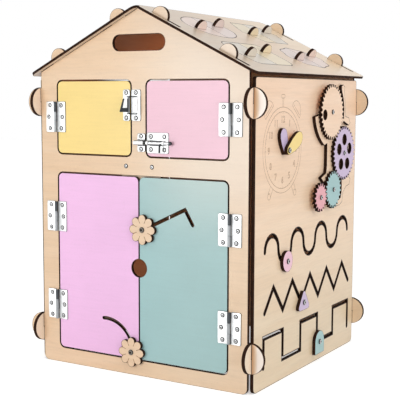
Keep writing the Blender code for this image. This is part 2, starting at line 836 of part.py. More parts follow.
def build_latch():
    seat = front_face - fit_gap
    plate_face = seat - sheet_metal
    pivot_x = latch_base_right - latch_ear_reach / 2
    pivot_y = seat - latch_pivot_out
    low = latch_middle - latch_height / 2
    high = latch_middle + latch_height / 2
    base = metal_plate(latch_base_right - latch_base_width, low, latch_base_right, high)
    parts = [screw_head(x, z, plate_face) for x, z in latch_screws]
    for side in (-1, 1):
        ear = latch_middle + side * latch_ear_rise
        parts.append(box((latch_base_right - latch_ear_reach, pivot_y - latch_pivot_radius * 2, ear - sheet_metal / 2),
                         (latch_base_right, plate_face + sheet_metal / 2, ear + sheet_metal / 2)))
    pin_half = latch_ear_rise
    parts.append(rod((pivot_x, pivot_y, latch_middle - pin_half), (pivot_x, pivot_y, latch_middle + pin_half),
                     latch_pivot_radius, 8))
    combine("latch_base", base, parts, "UNION")

    # Lever, drawn along -X from the pivot and then swung out
    inner = latch_pivot_radius + joint_gap
    barrel = inner + sheet_metal * 0.8
    half = lever_height / 2 - joint_gap
    outline = [(0, -half), (0, half), (-lever_length, half), (-lever_length - lever_slant, -half)]
    blade = sheet("blade", [outline], sheet_metal, front_place(-barrel + sheet_metal / 2))
    sleeve = rod((0, 0, -half), (0, 0, half), barrel, 12)
    lever = combine("lever", blade, [sleeve], "UNION")
    bore = rod((0, 0, -lever_height), (0, 0, lever_height), inner, 8)
    lever = combine("latch_lever", lever, [bore], "DIFFERENCE")
    lever.matrix_world = (Matrix.Translation((pivot_x, pivot_y, latch_middle))
                          @ Matrix.Rotation(lever_angle, 4, "Z") @ lever.matrix_world)
    set_origin(lever, (pivot_x, pivot_y, latch_middle))

    # Bail, a bent wire that turns on the ears' outer ends and reaches over the strike
    across = bail_half_height
    ends = latch_ear_rise + sheet_metal / 2 + fit_gap
    wire = [(0, ends), (0, across), (bail_reach, across), (bail_reach, -across), (0, -across), (0, -ends)]
    curve = bpy.data.curves.new("bail", "CURVE")
    curve.dimensions = "3D"
    curve.bevel_depth = bail_wire
    curve.bevel_resolution = 1
    curve.use_fill_caps = True
    spline = curve.splines.new("POLY")
    spline.points.add(len(wire) - 1)
    for point, (u, v) in zip(spline.points, wire):
        point.co = (u, 0, v, 1)
    bail = bpy.data.objects.new("latch_bail", curve)
    bail.matrix_world = (Matrix.Translation((pivot_x, pivot_y, latch_middle))
                         @ Matrix.Rotation(-bail_rise, 4, "Z"))
    house.objects.link(bail)
    bail = finish(settle(bail), "zinc")
    bail.name = "latch_bail"

    # Strike with its hook, open away from the shutter
    base = metal_plate(strike_left, low, strike_left + strike_width, high)
    parts = [screw_head(x, z, plate_face) for x, z in strike_screws]
    hook_left = strike_screw_x - hook_run / 2
    hook_half = hook_width / 2
    parts.append(box((hook_left, seat - hook_out, latch_middle - hook_half),
                     (hook_left + sheet_metal, plate_face + sheet_metal / 2, latch_middle + hook_half)))
    parts.append(box((hook_left, seat - hook_out, latch_middle - hook_half),
                     (hook_left + hook_run, seat - hook_out + sheet_metal, latch_middle + hook_half)))
    combine("latch_strike", base, parts, "UNION")


# Slide bolt

def build_slide_bolt():
    seat = front_face - fit_gap
    plate_face = seat - sheet_metal
    axis_y = seat - rod_out
    tip = post_edge + door_gap + rod_inset
    low = slide_middle - slide_plate_height / 2
    high = slide_middle + slide_plate_height / 2
    plate = metal_plate(slide_left, low, slide_right, high)
    parts = [screw_head(x, z, plate_face) for x, z in slide_screws]
    knob_left = tip + rod_length
    guides = (slide_left + guide_inset, knob_left - rod_travel - fit_gap - guide_length)
    for left in guides:
        right = left + guide_length
        parts.append(rod((left, axis_y, slide_middle), (right, axis_y, slide_middle), guide_radius, 12))
        parts.append(box((left, axis_y, slide_middle - guide_radius),
                         (left + guide_length, plate_face + sheet_metal / 2, slide_middle + guide_radius)))
    plate = combine("bolt_plate", plate, parts, "UNION")
    bore = rod((slide_left - overrun, axis_y, slide_middle), (slide_right + overrun, axis_y, slide_middle),
               guide_bore, 12)
    combine("bolt_plate", plate, [bore], "DIFFERENCE")

    handle_x = tip + rod_handle_reach
    body = rod((tip, axis_y, slide_middle), (knob_left + overrun, axis_y, slide_middle), rod_radius, 12)
    parts = [rod((knob_left, axis_y, slide_middle),
                 (knob_left + rod_knob_length, axis_y, slide_middle), rod_knob_radius, 12)]
    grip_y = axis_y - rod_radius
    parts.append(rod((handle_x, axis_y, slide_middle), (handle_x, grip_y - rod_handle_radius, slide_middle
                                                       - rod_handle_drop), rod_handle_radius, 8))
    made = combine("bolt_rod", body, parts, "UNION")
    set_origin(made, (tip, axis_y, slide_middle))

    keeper = metal_plate(keeper_right - keeper_width, slide_middle - keeper_height / 2,
                         keeper_right, slide_middle + keeper_height / 2)
    parts = [screw_head(x, z, plate_face) for x, z in keeper_screws]
    left = keeper_right - keeper_tube_length
    parts.append(rod((left, axis_y, slide_middle), (keeper_right, axis_y, slide_middle), guide_radius, 12))
    parts.append(box((keeper_right - keeper_width, axis_y, slide_middle - guide_radius),
                     (keeper_right, plate_face + sheet_metal / 2, slide_middle + guide_radius)))
    keeper = combine("bolt_keeper", keeper, parts, "UNION")
    bore = rod((left - overrun, axis_y, slide_middle), (keeper_right + overrun, axis_y, slide_middle),
               guide_bore, 12)
    combine("bolt_keeper", keeper, [bore], "DIFFERENCE")


# Flower catches

def flower_outline():
    petal = flower_radius * petal_share
    reach = flower_radius - petal
    half_step = math.pi / flower_petals
    meet = reach * math.cos(half_step) + math.sqrt(petal ** 2 - (reach * math.sin(half_step)) ** 2)
    sweep = math.atan2(meet * math.sin(half_step), meet * math.cos(half_step) - reach)
    points = []
    for i in range(flower_petals):
        heading = 2 * half_step * i
        centre = (reach * math.cos(heading), reach * math.sin(heading))
        points += arc(centre, petal, heading - sweep, heading + sweep, 6)[:-1]
    return points


def build_flowers():
    seat = front_face - fit_gap
    grip = 2 * fit_gap + ply + ply + 2 * fit_gap
    for name, (x, z) in (("flower_upper", upper_start), ("flower_lower", lower_start)):
        hole = circle((0, 0), shaft_hole_radius, 10)
        sheet(name, [flower_outline(), hole], ply, front_place(seat - ply / 2, x, z))
        machine_bolt(name + "_bolt", front_place(seat - ply - fit_gap, x, z), grip, True)


def build_stop():
    face = front_face + ply + fit_gap
    low = door_top - stop_lap
    holes = [circle(place, screw_hole_radius, 8) for place in stop_screws]
    sheet("door_stop", [rounded(-stop_width / 2, low, stop_width / 2, low + stop_height, overrun)] + holes,
          ply, front_place(face + ply / 2))
    for (x, z), word in zip(stop_screws, ("left", "right")):
        screw = long_screw(x, z, front_face - fit_gap)
        screw.name = "stop_screw_" + word
        finish(screw, "zinc")


# Clock

def hand_outline(length):
    """A leaf-shaped hand that points along +v from its eye at the origin."""
    widest = length * 0.66
    right = arc((0, 0), hand_eye_radius, -math.pi / 2, math.radians(-10), 5)
    right += [(hand_half_width * 0.92, widest * 0.55), (hand_half_width, widest),
              (hand_half_width * 0.86, length * 0.84), (hand_half_width * 0.45, length * 0.96)]
    return right + [(0, length)] + mirrored(right)[:-1]


def build_clock():
    y, z = clock_place
    hole = circle((0, 0), shaft_hole_radius, 10)
    for name, length, angle, paint, layer in (("hour_hand", hour_length, hour_angle, "violet", 0),
                                              ("minute_hand", minute_length, minute_angle, "yellow", 1)):
        level = play_face + layer * (ply + fit_gap) + ply / 2
        place = side_place(level, y, z) @ Matrix.Rotation(angle, 4, "Z")
        sheet(name, [hand_outline(length), hole], ply, place, paint)
    head = play_face + 2 * (ply + fit_gap)
    grip = head - half_width + ply + fit_gap
    machine_bolt("clock_bolt", side_place(head, y, z), grip, True)


# Gear train

def gear_places():
    places = [(gear_start_reach, gear_start_height)]
    for i, bearing in enumerate(gear_bearings):
        reach = gear_radii[i] + gear_radii[i + 1]
        places.append((places[i][0] + reach * math.cos(bearing), places[i][1] + reach * math.sin(bearing)))
    return places


def gear_phases():
    """Turn of each gear at rest, so that a tooth of one stands in a gap of the next."""
    phases = [0.0]
    for i, bearing in enumerate(gear_bearings):
        step = 2 * math.pi / gear_teeth[i]
        lead = ((bearing - phases[i]) / step) % 1.0
        next_step = 2 * math.pi / gear_teeth[i + 1]
        phases.append(bearing + math.pi + (lead - 0.5) * next_step)
    return phases


def involute(radius, base):
    """Polar angle of the involute from a base circle, where it reaches the radius."""
    if radius <= base:
        return 0.0
    roll = math.sqrt((radius / base) ** 2 - 1)
    return roll - math.atan(roll)


def gear_outline(count, phase):
    pitch = gear_module * count / 2
    base = pitch * math.cos(math.radians(20))
    tip = pitch + gear_module * tooth_top_share
    root = pitch - gear_module * tooth_root_share
    half_tooth = math.pi / count / 2 - tooth_backlash_share * gear_module / pitch / 2 + involute(pitch, base)
    points = []
    for i in range(count):
        middle = phase + 2 * math.pi * i / count
        flank = [(radius, half_tooth - involute(radius, base)) for radius in (root, pitch, tip)]
        for radius, off in flank:
            points.append((radius * math.cos(middle - off), radius * math.sin(middle - off)))
        for radius, off in reversed(flank):
            points.append((radius * math.cos(middle + off), radius * math.sin(middle + off)))
    return points


# Outline of the gear plate: gear, bearing in degrees, share of that gear's pitch radius
plate_shares = (
    (0, 187, 1.30), (0, 196, 1.29), (0, 206, 1.28), (0, 216, 1.27), (0, 226, 1.27), (0, 237, 1.28),
    (0, 251, 1.32), (1, 163, 1.43), (1, 197, 1.43), (1, 206, 1.58), (3, 70, 1.50), (2, 160, 0.62),
    (3, 45, 0.40), (3, 110, 0.30), (3, 150, 0.29), (3, 190, 0.29), (3, 230, 0.29), (3, 270, 0.30),
    (3, 315, 0.45), (2, 225, 0.50), (2, 260, 0.70), (2, 285, 0.90), (2, 305, 1.25), (2, 322, 1.65),
    (2, 333, 1.90), (2, 341, 1.84), (2, 350, 1.83), (2, 0, 2.25), (2, 2, 2.75), (2, 8, 2.90),
    (2, 14, 2.60), (2, 17, 1.90), (2, 16, 1.63), (2, 5, 1.61), (2, 350, 1.61), (2, 338, 1.58),
    (2, 330, 1.30), (2, 335, 0.95), (2, 5, 0.90), (2, 40, 0.95), (1, 272, 0.85), (1, 315, 0.75),
    (1, 0, 0.75), (1, 55, 0.80), (1, 92, 0.90), (1, 88, 1.13), (0, 345, 1.45), (0, 344, 2.00),
    (0, 348, 2.10), (0, 353, 1.90), (0, 353, 1.58), (0, 5, 1.55), (0, 18, 1.55), (0, 28, 1.62),
    (0, 34, 1.74), (0, 39, 1.66), (0, 41, 1.50), (0, 36, 1.42), (0, 20, 1.42), (0, 5, 1.42),
    (0, 349, 1.42), (0, 349, 0.95), (0, 10, 0.85), (0, 60, 0.70), (0, 90, 0.60), (0, 130, 0.52),
    (0, 165, 0.56), (0, 185, 0.66),
)


def plate_outline(places):
    points = []
    for gear, bearing, share in plate_shares:
        reach = share * gear_radii[gear]
        angle = math.radians(bearing)
        points.append((places[gear][0] + reach * math.cos(angle), places[gear][1] + reach * math.sin(angle)))
    return points


def build_gears():
    places = gear_places()
    phases = gear_phases()
    colours = ("birch", "violet", "teal", "pink")
    for index, (name, count, (y, z)) in enumerate(zip(gear_names, gear_teeth, places)):
        loops = [gear_outline(count, phases[index]), circle((0, 0), shaft_hole_radius, 10)]
        if name == "gear_natural":
            loops.append(circle((-gear_radii[index] * natural_hole_share, -natural_hole_radius / 2),
                                natural_hole_radius, 12))
        if name == "gear_lilac":
            for i in range(lilac_hole_count):
                angle = math.pi / 2 + 2 * math.pi * i / lilac_hole_count
                reach = gear_radii[index] * lilac_hole_share
                centre = (reach * math.cos(angle), reach * math.sin(angle))
                loops.append(circle(centre, lilac_hole_radius, 12))
        sheet(name, loops, ply, side_place(gear_face + ply / 2, y, z), colours[index])
    plate = sheet("plate", [plate_outline(places)], ply, side_place(play_face + ply / 2))
    head = gear_face + ply + fit_gap
    grip = head - play_face - ply / 2
    tools = [machine_bolt("axle", side_place(head, y, z), grip, False) for y, z in places]
    combine("gear_plate", plate, tools, "UNION", "birch")


# Sliding knobs

def triangle_outline():
    corners = [(0, triangle_rise), (-triangle_half_width, -triangle_drop),
               (triangle_half_width, -triangle_drop)]
    points = []
    for i, corner in enumerate(corners):
        here = Vector(corner)
        before = (Vector(corners[i - 1]) - here).normalized()
        after = (Vector(corners[(i + 1) % 3]) - here).normalized()
        inward = (before + after).normalized()
        half = math.acos(max(-1, min(1, before.dot(after)))) / 2
        centre = here + inward * (triangle_round / math.sin(half))
        outward = math.atan2(-inward.y, -inward.x)
        sweep = math.pi / 2 - half
        points += arc(centre, triangle_round, outward - sweep, outward + sweep, 4)
    return points


def arch_outline():
    centre = (0, arch_rise)
    points = arc(centre, arch_half_width, 0, math.pi, 12)
    return points + [(-arch_half_width, -arch_drop), (arch_half_width, -arch_drop)]


disc_place = wave_trough(disc_trough)
triangle_place = (zigzag_start + (triangle_trough + 1) * zigzag_pitch, zigzag_low)
arch_place = (square_start + arch_corner * square_pitch, square_low)


def build_knobs():
    knobs = (("disc_knob", circle((0, 0), disc_knob_radius, 24), disc_place, "pink"),
             ("triangle_knob", triangle_outline(), triangle_place, "violet"),
             ("arch_knob", arch_outline(), arch_place, "teal"))
    grip = 2 * fit_gap + ply + ply + 2 * fit_gap
    for name, outline, (y, z), paint in knobs:
        sheet(name, [outline, circle((0, 0), shaft_hole_radius, 10)], ply,
              side_place(play_face + ply / 2, y, z), paint)
        machine_bolt(name + "_bolt", side_place(play_face + ply + fit_gap, y, z), grip, True)


build_gables()
build_walls()
build_roof()
build_puzzles()
build_doors()
build_hinges()
build_latch()
build_slide_bolt()
build_flowers()
build_stop()
build_clock()
build_gears()
build_knobs()
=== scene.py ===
"""Looks of the wooden activity house: birch plywood with laser-burnt edges, pastel paint,
zinc fittings and an engraved clock face, on a pale floor in soft studio light."""
import itertools
import json
import math
import bmesh
import bpy
from mathutils import Matrix, Vector

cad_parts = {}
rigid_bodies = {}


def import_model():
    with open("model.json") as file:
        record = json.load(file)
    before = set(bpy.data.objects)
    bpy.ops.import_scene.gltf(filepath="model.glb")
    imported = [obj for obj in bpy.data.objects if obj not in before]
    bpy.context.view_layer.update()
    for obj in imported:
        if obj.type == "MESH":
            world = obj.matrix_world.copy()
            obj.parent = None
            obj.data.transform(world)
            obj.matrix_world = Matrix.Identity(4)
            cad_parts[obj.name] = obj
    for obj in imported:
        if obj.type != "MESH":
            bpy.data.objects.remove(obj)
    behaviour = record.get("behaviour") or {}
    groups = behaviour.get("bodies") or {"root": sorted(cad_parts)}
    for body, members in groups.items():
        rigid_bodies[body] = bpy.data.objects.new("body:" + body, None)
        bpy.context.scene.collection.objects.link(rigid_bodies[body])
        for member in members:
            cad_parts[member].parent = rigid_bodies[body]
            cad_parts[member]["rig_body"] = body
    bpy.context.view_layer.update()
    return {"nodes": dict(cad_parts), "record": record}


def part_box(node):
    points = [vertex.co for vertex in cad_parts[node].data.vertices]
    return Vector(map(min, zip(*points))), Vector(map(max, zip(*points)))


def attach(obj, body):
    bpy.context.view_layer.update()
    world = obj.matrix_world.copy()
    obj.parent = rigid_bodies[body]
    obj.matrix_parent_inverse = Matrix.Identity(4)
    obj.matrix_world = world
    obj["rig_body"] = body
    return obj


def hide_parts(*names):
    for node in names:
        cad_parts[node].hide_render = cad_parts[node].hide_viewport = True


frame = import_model()
nodes = frame["nodes"]
scene = bpy.context.scene

PLY = 0.0055                # thickness of the walls' plywood
WALL_FACE = 0.205           # x of the play wall's outer face
FRONT_FACE = -0.201         # y of the front panel's outer face
GEARS = ("gear_natural", "gear_lilac", "gear_teal", "gear_pink")

SLOPE = math.radians(26.3)
X, Y = Vector((1, 0, 0)), Vector((0, 1, 0))
FRONT_AXIS = Vector((0, -1, 0))
SIDE_AXIS = Vector((1, 0, 0))
RIGHT_ROOF_AXIS = Vector((math.sin(SLOPE), 0, math.cos(SLOPE)))
LEFT_ROOF_AXIS = Vector((-math.sin(SLOPE), 0, math.cos(SLOPE)))
RIGHT_ROOF_DOWN = Vector((math.cos(SLOPE), 0, -math.sin(SLOPE)))


def srgb(*values):
    """Linear colour of three values from 0 to 255."""
    linear = [v / 255 / 12.92 if v <= 10 else ((v / 255 + 0.055) / 1.055) ** 2.4 for v in values]
    return (*linear, 1.0)


def dimmed(colour, share):
    return tuple(share * c for c in colour[:3]) + (1,)


FRONT_TONES = (srgb(232, 199, 163), srgb(237, 206, 172), srgb(241, 212, 180), srgb(234, 199, 160))
BIRCH_TONES = (srgb(245, 209, 177), srgb(250, 216, 186), srgb(253, 222, 194), srgb(247, 209, 176))
ROOF_TONES = (srgb(247, 219, 185), srgb(252, 227, 195), srgb(254, 233, 202), srgb(248, 220, 187))
# Painted sheen: the pale tone that the front is mixed towards at its upper right
SHEEN_BIRCH = srgb(233, 221, 206)
TAB_BIRCH = srgb(255, 240, 222)
SMOKE = srgb(150, 100, 62)
BURNT = srgb(22, 11, 8)
WHITE = (1, 1, 1, 1)
PAINTS = {"yellow": srgb(254, 224, 139), "pink": srgb(242, 195, 211), "lilac": srgb(248, 197, 238),
          "violet": srgb(207, 186, 217), "teal": srgb(160, 199, 199), "deep_pink": srgb(235, 168, 175),
          # The puzzle's pale paints are mixed towards the roof's wood, partly a painted sheen of the light
          # grazing the roof
          "pale_pink": srgb(243, 220, 208), "pale_violet": srgb(236, 217, 209),
          "pale_yellow": srgb(244, 226, 193), "pale_blue": srgb(231, 220, 204)}


# Materials

def add(tree, kind, inputs=None, **settings):
    """Shader node whose inputs are values or other nodes' sockets."""
    made = tree.nodes.new("ShaderNode" + kind)
    for key, value in settings.items():
        setattr(made, key, value)
    for key, value in (inputs or {}).items():
        if isinstance(value, bpy.types.NodeSocket):
            tree.links.new(value, made.inputs[key])
        else:
            made.inputs[key].default_value = value
    return made


def math_node(tree, operation, a, b=0.0):
    return add(tree, "Math", {0: a, 1: b}, operation=operation).outputs[0]


def noise(tree, point, scale, detail):
    return add(tree, "TexNoise", {"Vector": point, "Scale": scale, "Detail": detail}).outputs[0]


def dot(tree, point, axis):
    return add(tree, "VectorMath", {0: point, 1: axis}, operation="DOT_PRODUCT").outputs["Value"]


def change(tree, value, start, end, before, after, kind="LINEAR"):
    """Goes from before to after while the value goes from start to end."""
    return add(tree, "MapRange", {0: value, 1: start, 2: end, 3: before, 4: after},
               interpolation_type=kind).outputs[0]


def mix(tree, factor, a, b, blend="MIX"):
    made = add(tree, "Mix", data_type="RGBA", blend_type=blend)
    for index, value in ((0, factor), (6, a), (7, b)):
        if isinstance(value, bpy.types.NodeSocket):
            tree.links.new(value, made.inputs[index])
        else:
            made.inputs[index].default_value = value
    return made.outputs[2]


def ramp(tree, factor, *stops):
    """Colour ramp through pairs of place and colour or grey."""
    made = add(tree, "ValToRGB", {0: factor})
    elements = made.color_ramp.elements
    while len(elements) < len(stops):
        elements.new(0.5)
    for element, (place, value) in zip(elements, stops):
        element.position = place
        element.color = value if isinstance(value, tuple) else (value, value, value, 1)
    return made.outputs[0]


def blank(name, roughness, metallic=0.0):
    """Plain material, with its tree and its shader."""
    material = bpy.data.materials.new(name)
    material.use_nodes = True
    shader = material.node_tree.nodes["Principled BSDF"]
    shader.inputs["Roughness"].default_value = roughness
    shader.inputs["Metallic"].default_value = metallic
    return material, material.node_tree, shader


def bumped(tree, shader, strength, distance, height):
    bump = add(tree, "Bump", {"Strength": strength, "Distance": distance, "Height": height})
    tree.links.new(bump.outputs[0], shader.inputs["Normal"])


def grain_tones(tree, point, axis, grain, tones):
    """Rotary-cut birch: soft bands, fine streaks and short pores along the grain."""
    across = Vector(axis).cross(Vector(grain))
    flat = add(tree, "CombineXYZ", {0: dot(tree, point, grain), 1: dot(tree, point, across),
                                    2: 0.37}).outputs[0]

    def stretched(length, width, detail, distortion=0.0):
        size = (length, width, 1)
        scaled = add(tree, "VectorMath", {0: flat, 1: size}, operation="MULTIPLY").outputs[0]
        return add(tree, "TexNoise", {"Vector": scaled, "Scale": 1.0, "Detail": detail,
                                      "Distortion": distortion}).outputs[0]

    bands = stretched(3.5, 26, 3, 1.2)
    clouds = stretched(5, 7, 2)
    streaks = stretched(22, 330, 4)
    pores = stretched(160, 1500, 1)
    body = ramp(tree, bands, (0.30, tones[0]), (0.52, tones[1]), (0.75, tones[2]))
    body = mix(tree, math_node(tree, "MULTIPLY", clouds, 0.35), body, tones[3])
    fine = ramp(tree, streaks, (0.30, 0.88), (0.58, 1.0))
    body = mix(tree, 0.5, body, fine, "MULTIPLY")
    specks = ramp(tree, pores, (0.22, 0.55), (0.34, 1.0))
    body = mix(tree, 0.30, body, specks, "MULTIPLY")
    return body, streaks


def paler(tree, point, surface, most):
    """Painted sheen: the front's sheets are mixed towards a pale tone to the upper right. Painted fold
    shade: their corner tabs go dark beside the wall and pale away from it.
    """
    x, _, z = add(tree, "SeparateXYZ", {0: point}).outputs
    across = change(tree, x, -0.06, 0.13, 0.0, most, "SMOOTHSTEP")
    upward = change(tree, z, 0.20, 0.35, 0.22, 1.0, "SMOOTHSTEP")
    surface = mix(tree, math_node(tree, "MULTIPLY", across, upward), surface, SHEEN_BIRCH)
    # Painted fold shade on the front's tabs beyond the wall
    on_tab = change(tree, x, WALL_FACE, WALL_FACE + 0.0002, 0.0, 1.0)
    out = math_node(tree, "MULTIPLY", math_node(tree, "SUBTRACT", x, WALL_FACE), 60.0)
    fold_shade = ramp(tree, out, (0.045, srgb(84, 54, 38)), (0.085, srgb(216, 168, 126)),
                 (0.36, srgb(236, 206, 174)), (0.64, srgb(247, 235, 224)))
    return mix(tree, on_tab, surface, fold_shade)


def deeper(tree, point, surface):
    """Painted shade: the side sheets go darker towards the foot, as the light falls from above; they are
    pale on the corner tabs.
    """
    _, y, z = add(tree, "SeparateXYZ", {0: point}).outputs
    tone = ramp(tree, math_node(tree, "MULTIPLY", z, 2.0), (0.14, (0.83, 0.93, 0.90, 1)),
                (0.50, (0.955, 1.0, 0.99, 1)), (0.85, WHITE))
    surface = mix(tree, 1.0, surface, tone, "MULTIPLY")
    return mix(tree, change(tree, y, FRONT_FACE - 0.0002, FRONT_FACE, 0.6, 0.0), surface, TAB_BIRCH)


def lighter_back(tree, point, surface):
    """Painted shade: sheets in the roof's tones go darker towards the front and lighter towards the back, as
    the light falls on them.
    """
    depth = add(tree, "SeparateXYZ", {0: point}).outputs[1]
    place = math_node(tree, "ADD", math_node(tree, "MULTIPLY", depth, 2.5), 0.5)
    tone = ramp(tree, place, (0.20, (0.76, 0.775, 0.83, 1)), (0.50, (0.87, 0.84, 0.86, 1)), (0.88, WHITE))
    return mix(tree, 1.0, surface, tone, "MULTIPLY")


def plywood(name, axis, grain, tones=BIRCH_TONES, paint=None, sheen_share=0.0):
    """Face of a birch plywood sheet: veneer, or paint on its front, darkened by the laser along the cuts."""
    material, tree, shader = blank(name, 0.30)
    point = add(tree, "TexCoord").outputs["Object"]
    front = add(tree, "Attribute", attribute_name="front").outputs["Fac"]
    surface, streaks = grain_tones(tree, point, axis, grain, tones)
    # Painted light: sheen and fold shade on the front's sheets, shade towards the front on sheets in the
    # roof's tones, and shade towards the foot on the sides
    if tones is FRONT_TONES:
        surface = paler(tree, point, surface, 0.60)
    elif tones is ROOF_TONES:
        surface = lighter_back(tree, point, surface)
    elif axis is SIDE_AXIS:
        surface = deeper(tree, point, surface)
    height = streaks
    if paint:
        tone = ramp(tree, noise(tree, point, 9.0, 3.0), (0.35, dimmed(paint, 0.955)), (0.65, paint))
        ghost = ramp(tree, streaks, (0.3, 0.955), (0.6, 1.0))
        tone = mix(tree, 0.6, tone, ghost, "MULTIPLY")
        # Painted sheen on the paint as well, towards its upper right
        if sheen_share:
            tone = paler(tree, point, tone, sheen_share)
        surface = mix(tree, front, surface, tone)
        height = math_node(tree, "ADD", math_node(tree, "MULTIPLY", streaks, 0.5),
                           math_node(tree, "MULTIPLY", noise(tree, point, 900.0, 1.0), 0.4))
        rough = math_node(tree, "SUBTRACT", 0.34, math_node(tree, "MULTIPLY", front, 0.04))
        tree.links.new(rough, shader.inputs["Roughness"])
    scorch = add(tree, "Attribute", attribute_name="scorch").outputs["Fac"]
    ragged = math_node(tree, "SUBTRACT", noise(tree, point, 420.0, 2.0), 0.5)
    shaken = math_node(tree, "ADD", scorch, math_node(tree, "MULTIPLY", ragged, 0.25))
    haze = ramp(tree, shaken, (0.02, 0.0), (0.45, 0.55), (0.62, 0.55))
    surface = mix(tree, haze, surface, SMOKE)
    burn = ramp(tree, shaken, (0.32, 0.0), (0.54, 1.0))
    surface = mix(tree, burn, surface, BURNT)
    gloss = math_node(tree, "SUBTRACT", 0.5, math_node(tree, "MULTIPLY", burn, 0.42))
    tree.links.new(gloss, shader.inputs["Specular IOR Level"])
    tree.links.new(surface, shader.inputs["Base Color"])
    bumped(tree, shader, 0.25, 0.0002, height)
    return material


def charred(name, axis):
    """Laser-cut edge: brown with soot, the plies just showing."""
    material, tree, shader = blank(name, 0.9)
    shader.inputs["Specular IOR Level"].default_value = 0.12
    point = add(tree, "TexCoord").outputs["Object"]
    turns = 2 * math.pi * 2.5 / PLY
    layers = math_node(tree, "SINE", math_node(tree, "MULTIPLY", dot(tree, point, axis), turns))
    soot = noise(tree, point, 160.0, 3.0)
    char = ramp(tree, soot, (0.30, srgb(22, 12, 9)), (0.55, srgb(38, 21, 15)), (0.80, srgb(74, 45, 30)))
    char = mix(tree, math_node(tree, "MULTIPLY", math_node(tree, "ADD", layers, 1.0), 0.06), char,
               srgb(130, 86, 56))
    tree.links.new(char, shader.inputs["Base Color"])
    bumped(tree, shader, 0.3, 0.0002, soot)
    return material


def zinc(name, colour, roughness, metallic=1.0, dark_sides=False):
    """Zinc-plated steel with a faint spangle; round pieces can get a painted dark reflection towards their
    sides.
    """
    material, tree, shader = blank(name, roughness, metallic)
    point = add(tree, "TexCoord").outputs["Object"]
    spangle = noise(tree, point, 260.0, 3.0)
    tone = ramp(tree, spangle, (0.3, dimmed(colour, 0.86)), (0.7, colour))
    if dark_sides:
        facing = add(tree, "LayerWeight", {"Blend": 0.5}).outputs["Facing"]
        tone = mix(tree, ramp(tree, facing, (0.42, 0.0), (0.72, 1.0)), tone, srgb(58, 60, 62))
    tree.links.new(tone, shader.inputs["Base Color"])
    rub = math_node(tree, "ADD", roughness - 0.06, math_node(tree, "MULTIPLY", spangle, 0.14))
    tree.links.new(rub, shader.inputs["Roughness"])
    bumped(tree, shader, 0.12, 0.0001, spangle)
    return material


birch_front = plywood("birch_front", FRONT_AXIS, X, FRONT_TONES)
birch_side = plywood("birch_side", SIDE_AXIS, Y)
birch_back = plywood("birch_back", FRONT_AXIS, X, ROOF_TONES)
birch_roof_right = plywood("birch_roof_right", RIGHT_ROOF_AXIS, Y, ROOF_TONES)
birch_roof_left = plywood("birch_roof_left", LEFT_ROOF_AXIS, Y, ROOF_TONES)
plate_steel = zinc("plate_steel", srgb(240, 242, 242), 0.46)
# Painted shade: the knuckles are greyer than the plates of the same zinc, the upper knuckle and the bolt's
# knob darker still
shaded_barrel_steel = zinc("shaded_barrel_steel", srgb(158, 161, 163), 0.34)
darker_shaded_barrel = zinc("darker_shaded_barrel", srgb(78, 81, 84), 0.30)
rod_steel = zinc("rod_steel", srgb(214, 216, 218), 0.22, dark_sides=True)
tube_steel = zinc("tube_steel", srgb(240, 242, 242), 0.40, dark_sides=True)
screw_steel = zinc("screw_steel", srgb(206, 207, 208), 0.28)
bolt_steel = zinc("bolt_steel", srgb(200, 200, 200), 0.26)
# Painted shade: dark steel for the screws' dimples and the heads' lower slopes, near-black for recesses and
# creases
shaded_dimple = zinc("shaded_dimple", srgb(62, 60, 58), 0.6, 0.2)
dull_steel = zinc("dull_steel", srgb(118, 112, 104), 0.5, 0.6)
shadow_steel = zinc("shadow_steel", srgb(50, 52, 56), 0.45, 0.6)
recess_shade = zinc("recess_shade", srgb(34, 33, 33), 0.6)
painted_so_far = {}
chars = {}


def char_of(axis):
    """The charred material whose plies lie across this axis."""
    key = tuple(round(v, 3) for v in axis)
    if key not in chars:
        chars[key] = charred("charred_edge_%d" % (len(chars) + 1), axis)
    return chars[key]


def painted(word, axis, grain, tones=BIRCH_TONES, sheen_share=0.0):
    """Plywood with a painted front, made once for each paint and direction."""
    key = (word, tuple(axis))
    if key not in painted_so_far:
        place = ("side", "front", "roof")[max(range(3), key=lambda i: abs(axis[i]))]
        painted_so_far[key] = plywood(word + "_" + place, axis, grain, tones, PAINTS[word], sheen_share)
    return painted_so_far[key]


# Sheets

def show(mesh, name, body, materials, replaced, slot):
    """Puts the mesh in the scene on its body, in place of CAD nodes."""
    obj = bpy.data.objects.new(name, mesh)
    scene.collection.objects.link(obj)
    for material in materials:
        mesh.materials.append(material)
    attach(obj, body)
    if replaced:
        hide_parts(*replaced)


def body_of(node):
    return nodes[node]["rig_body"]


slots = {entry["node"]: entry["material_slot"] for entry in frame["record"]["subparts"]}
WELD = 0.000002             # distance under which vertices are one
FLAT = 0.99                 # cosine over which a face lies in its sheet's plane
SPECK = 0.000001            # area under which a flat region keeps the charred look of the cuts
SHEET_TOP, GRIP_FOOT = 0.0003, 0.001    # over a sheet's plane its own faces end, and a grip's sides begin
ONE_PLANE, SHARP, SHARP_METAL = math.radians(0.4), math.radians(32), math.radians(38)
BROAD_BURN_AND_SHADE = ((0.0007, 1.0), (0.0019, 0.0))


def islands(faces):
    """Groups of the faces that hang together by their edges."""
    members = set(faces)
    done = set()
    for first in faces:
        if first in done:
            continue
        done.add(first)
        island = [first]
        for face in island:
            for edge in face.edges:
                for other in edge.link_faces:
                    if other in members and other not in done:
                        done.add(other)
                        island.append(other)
        yield island


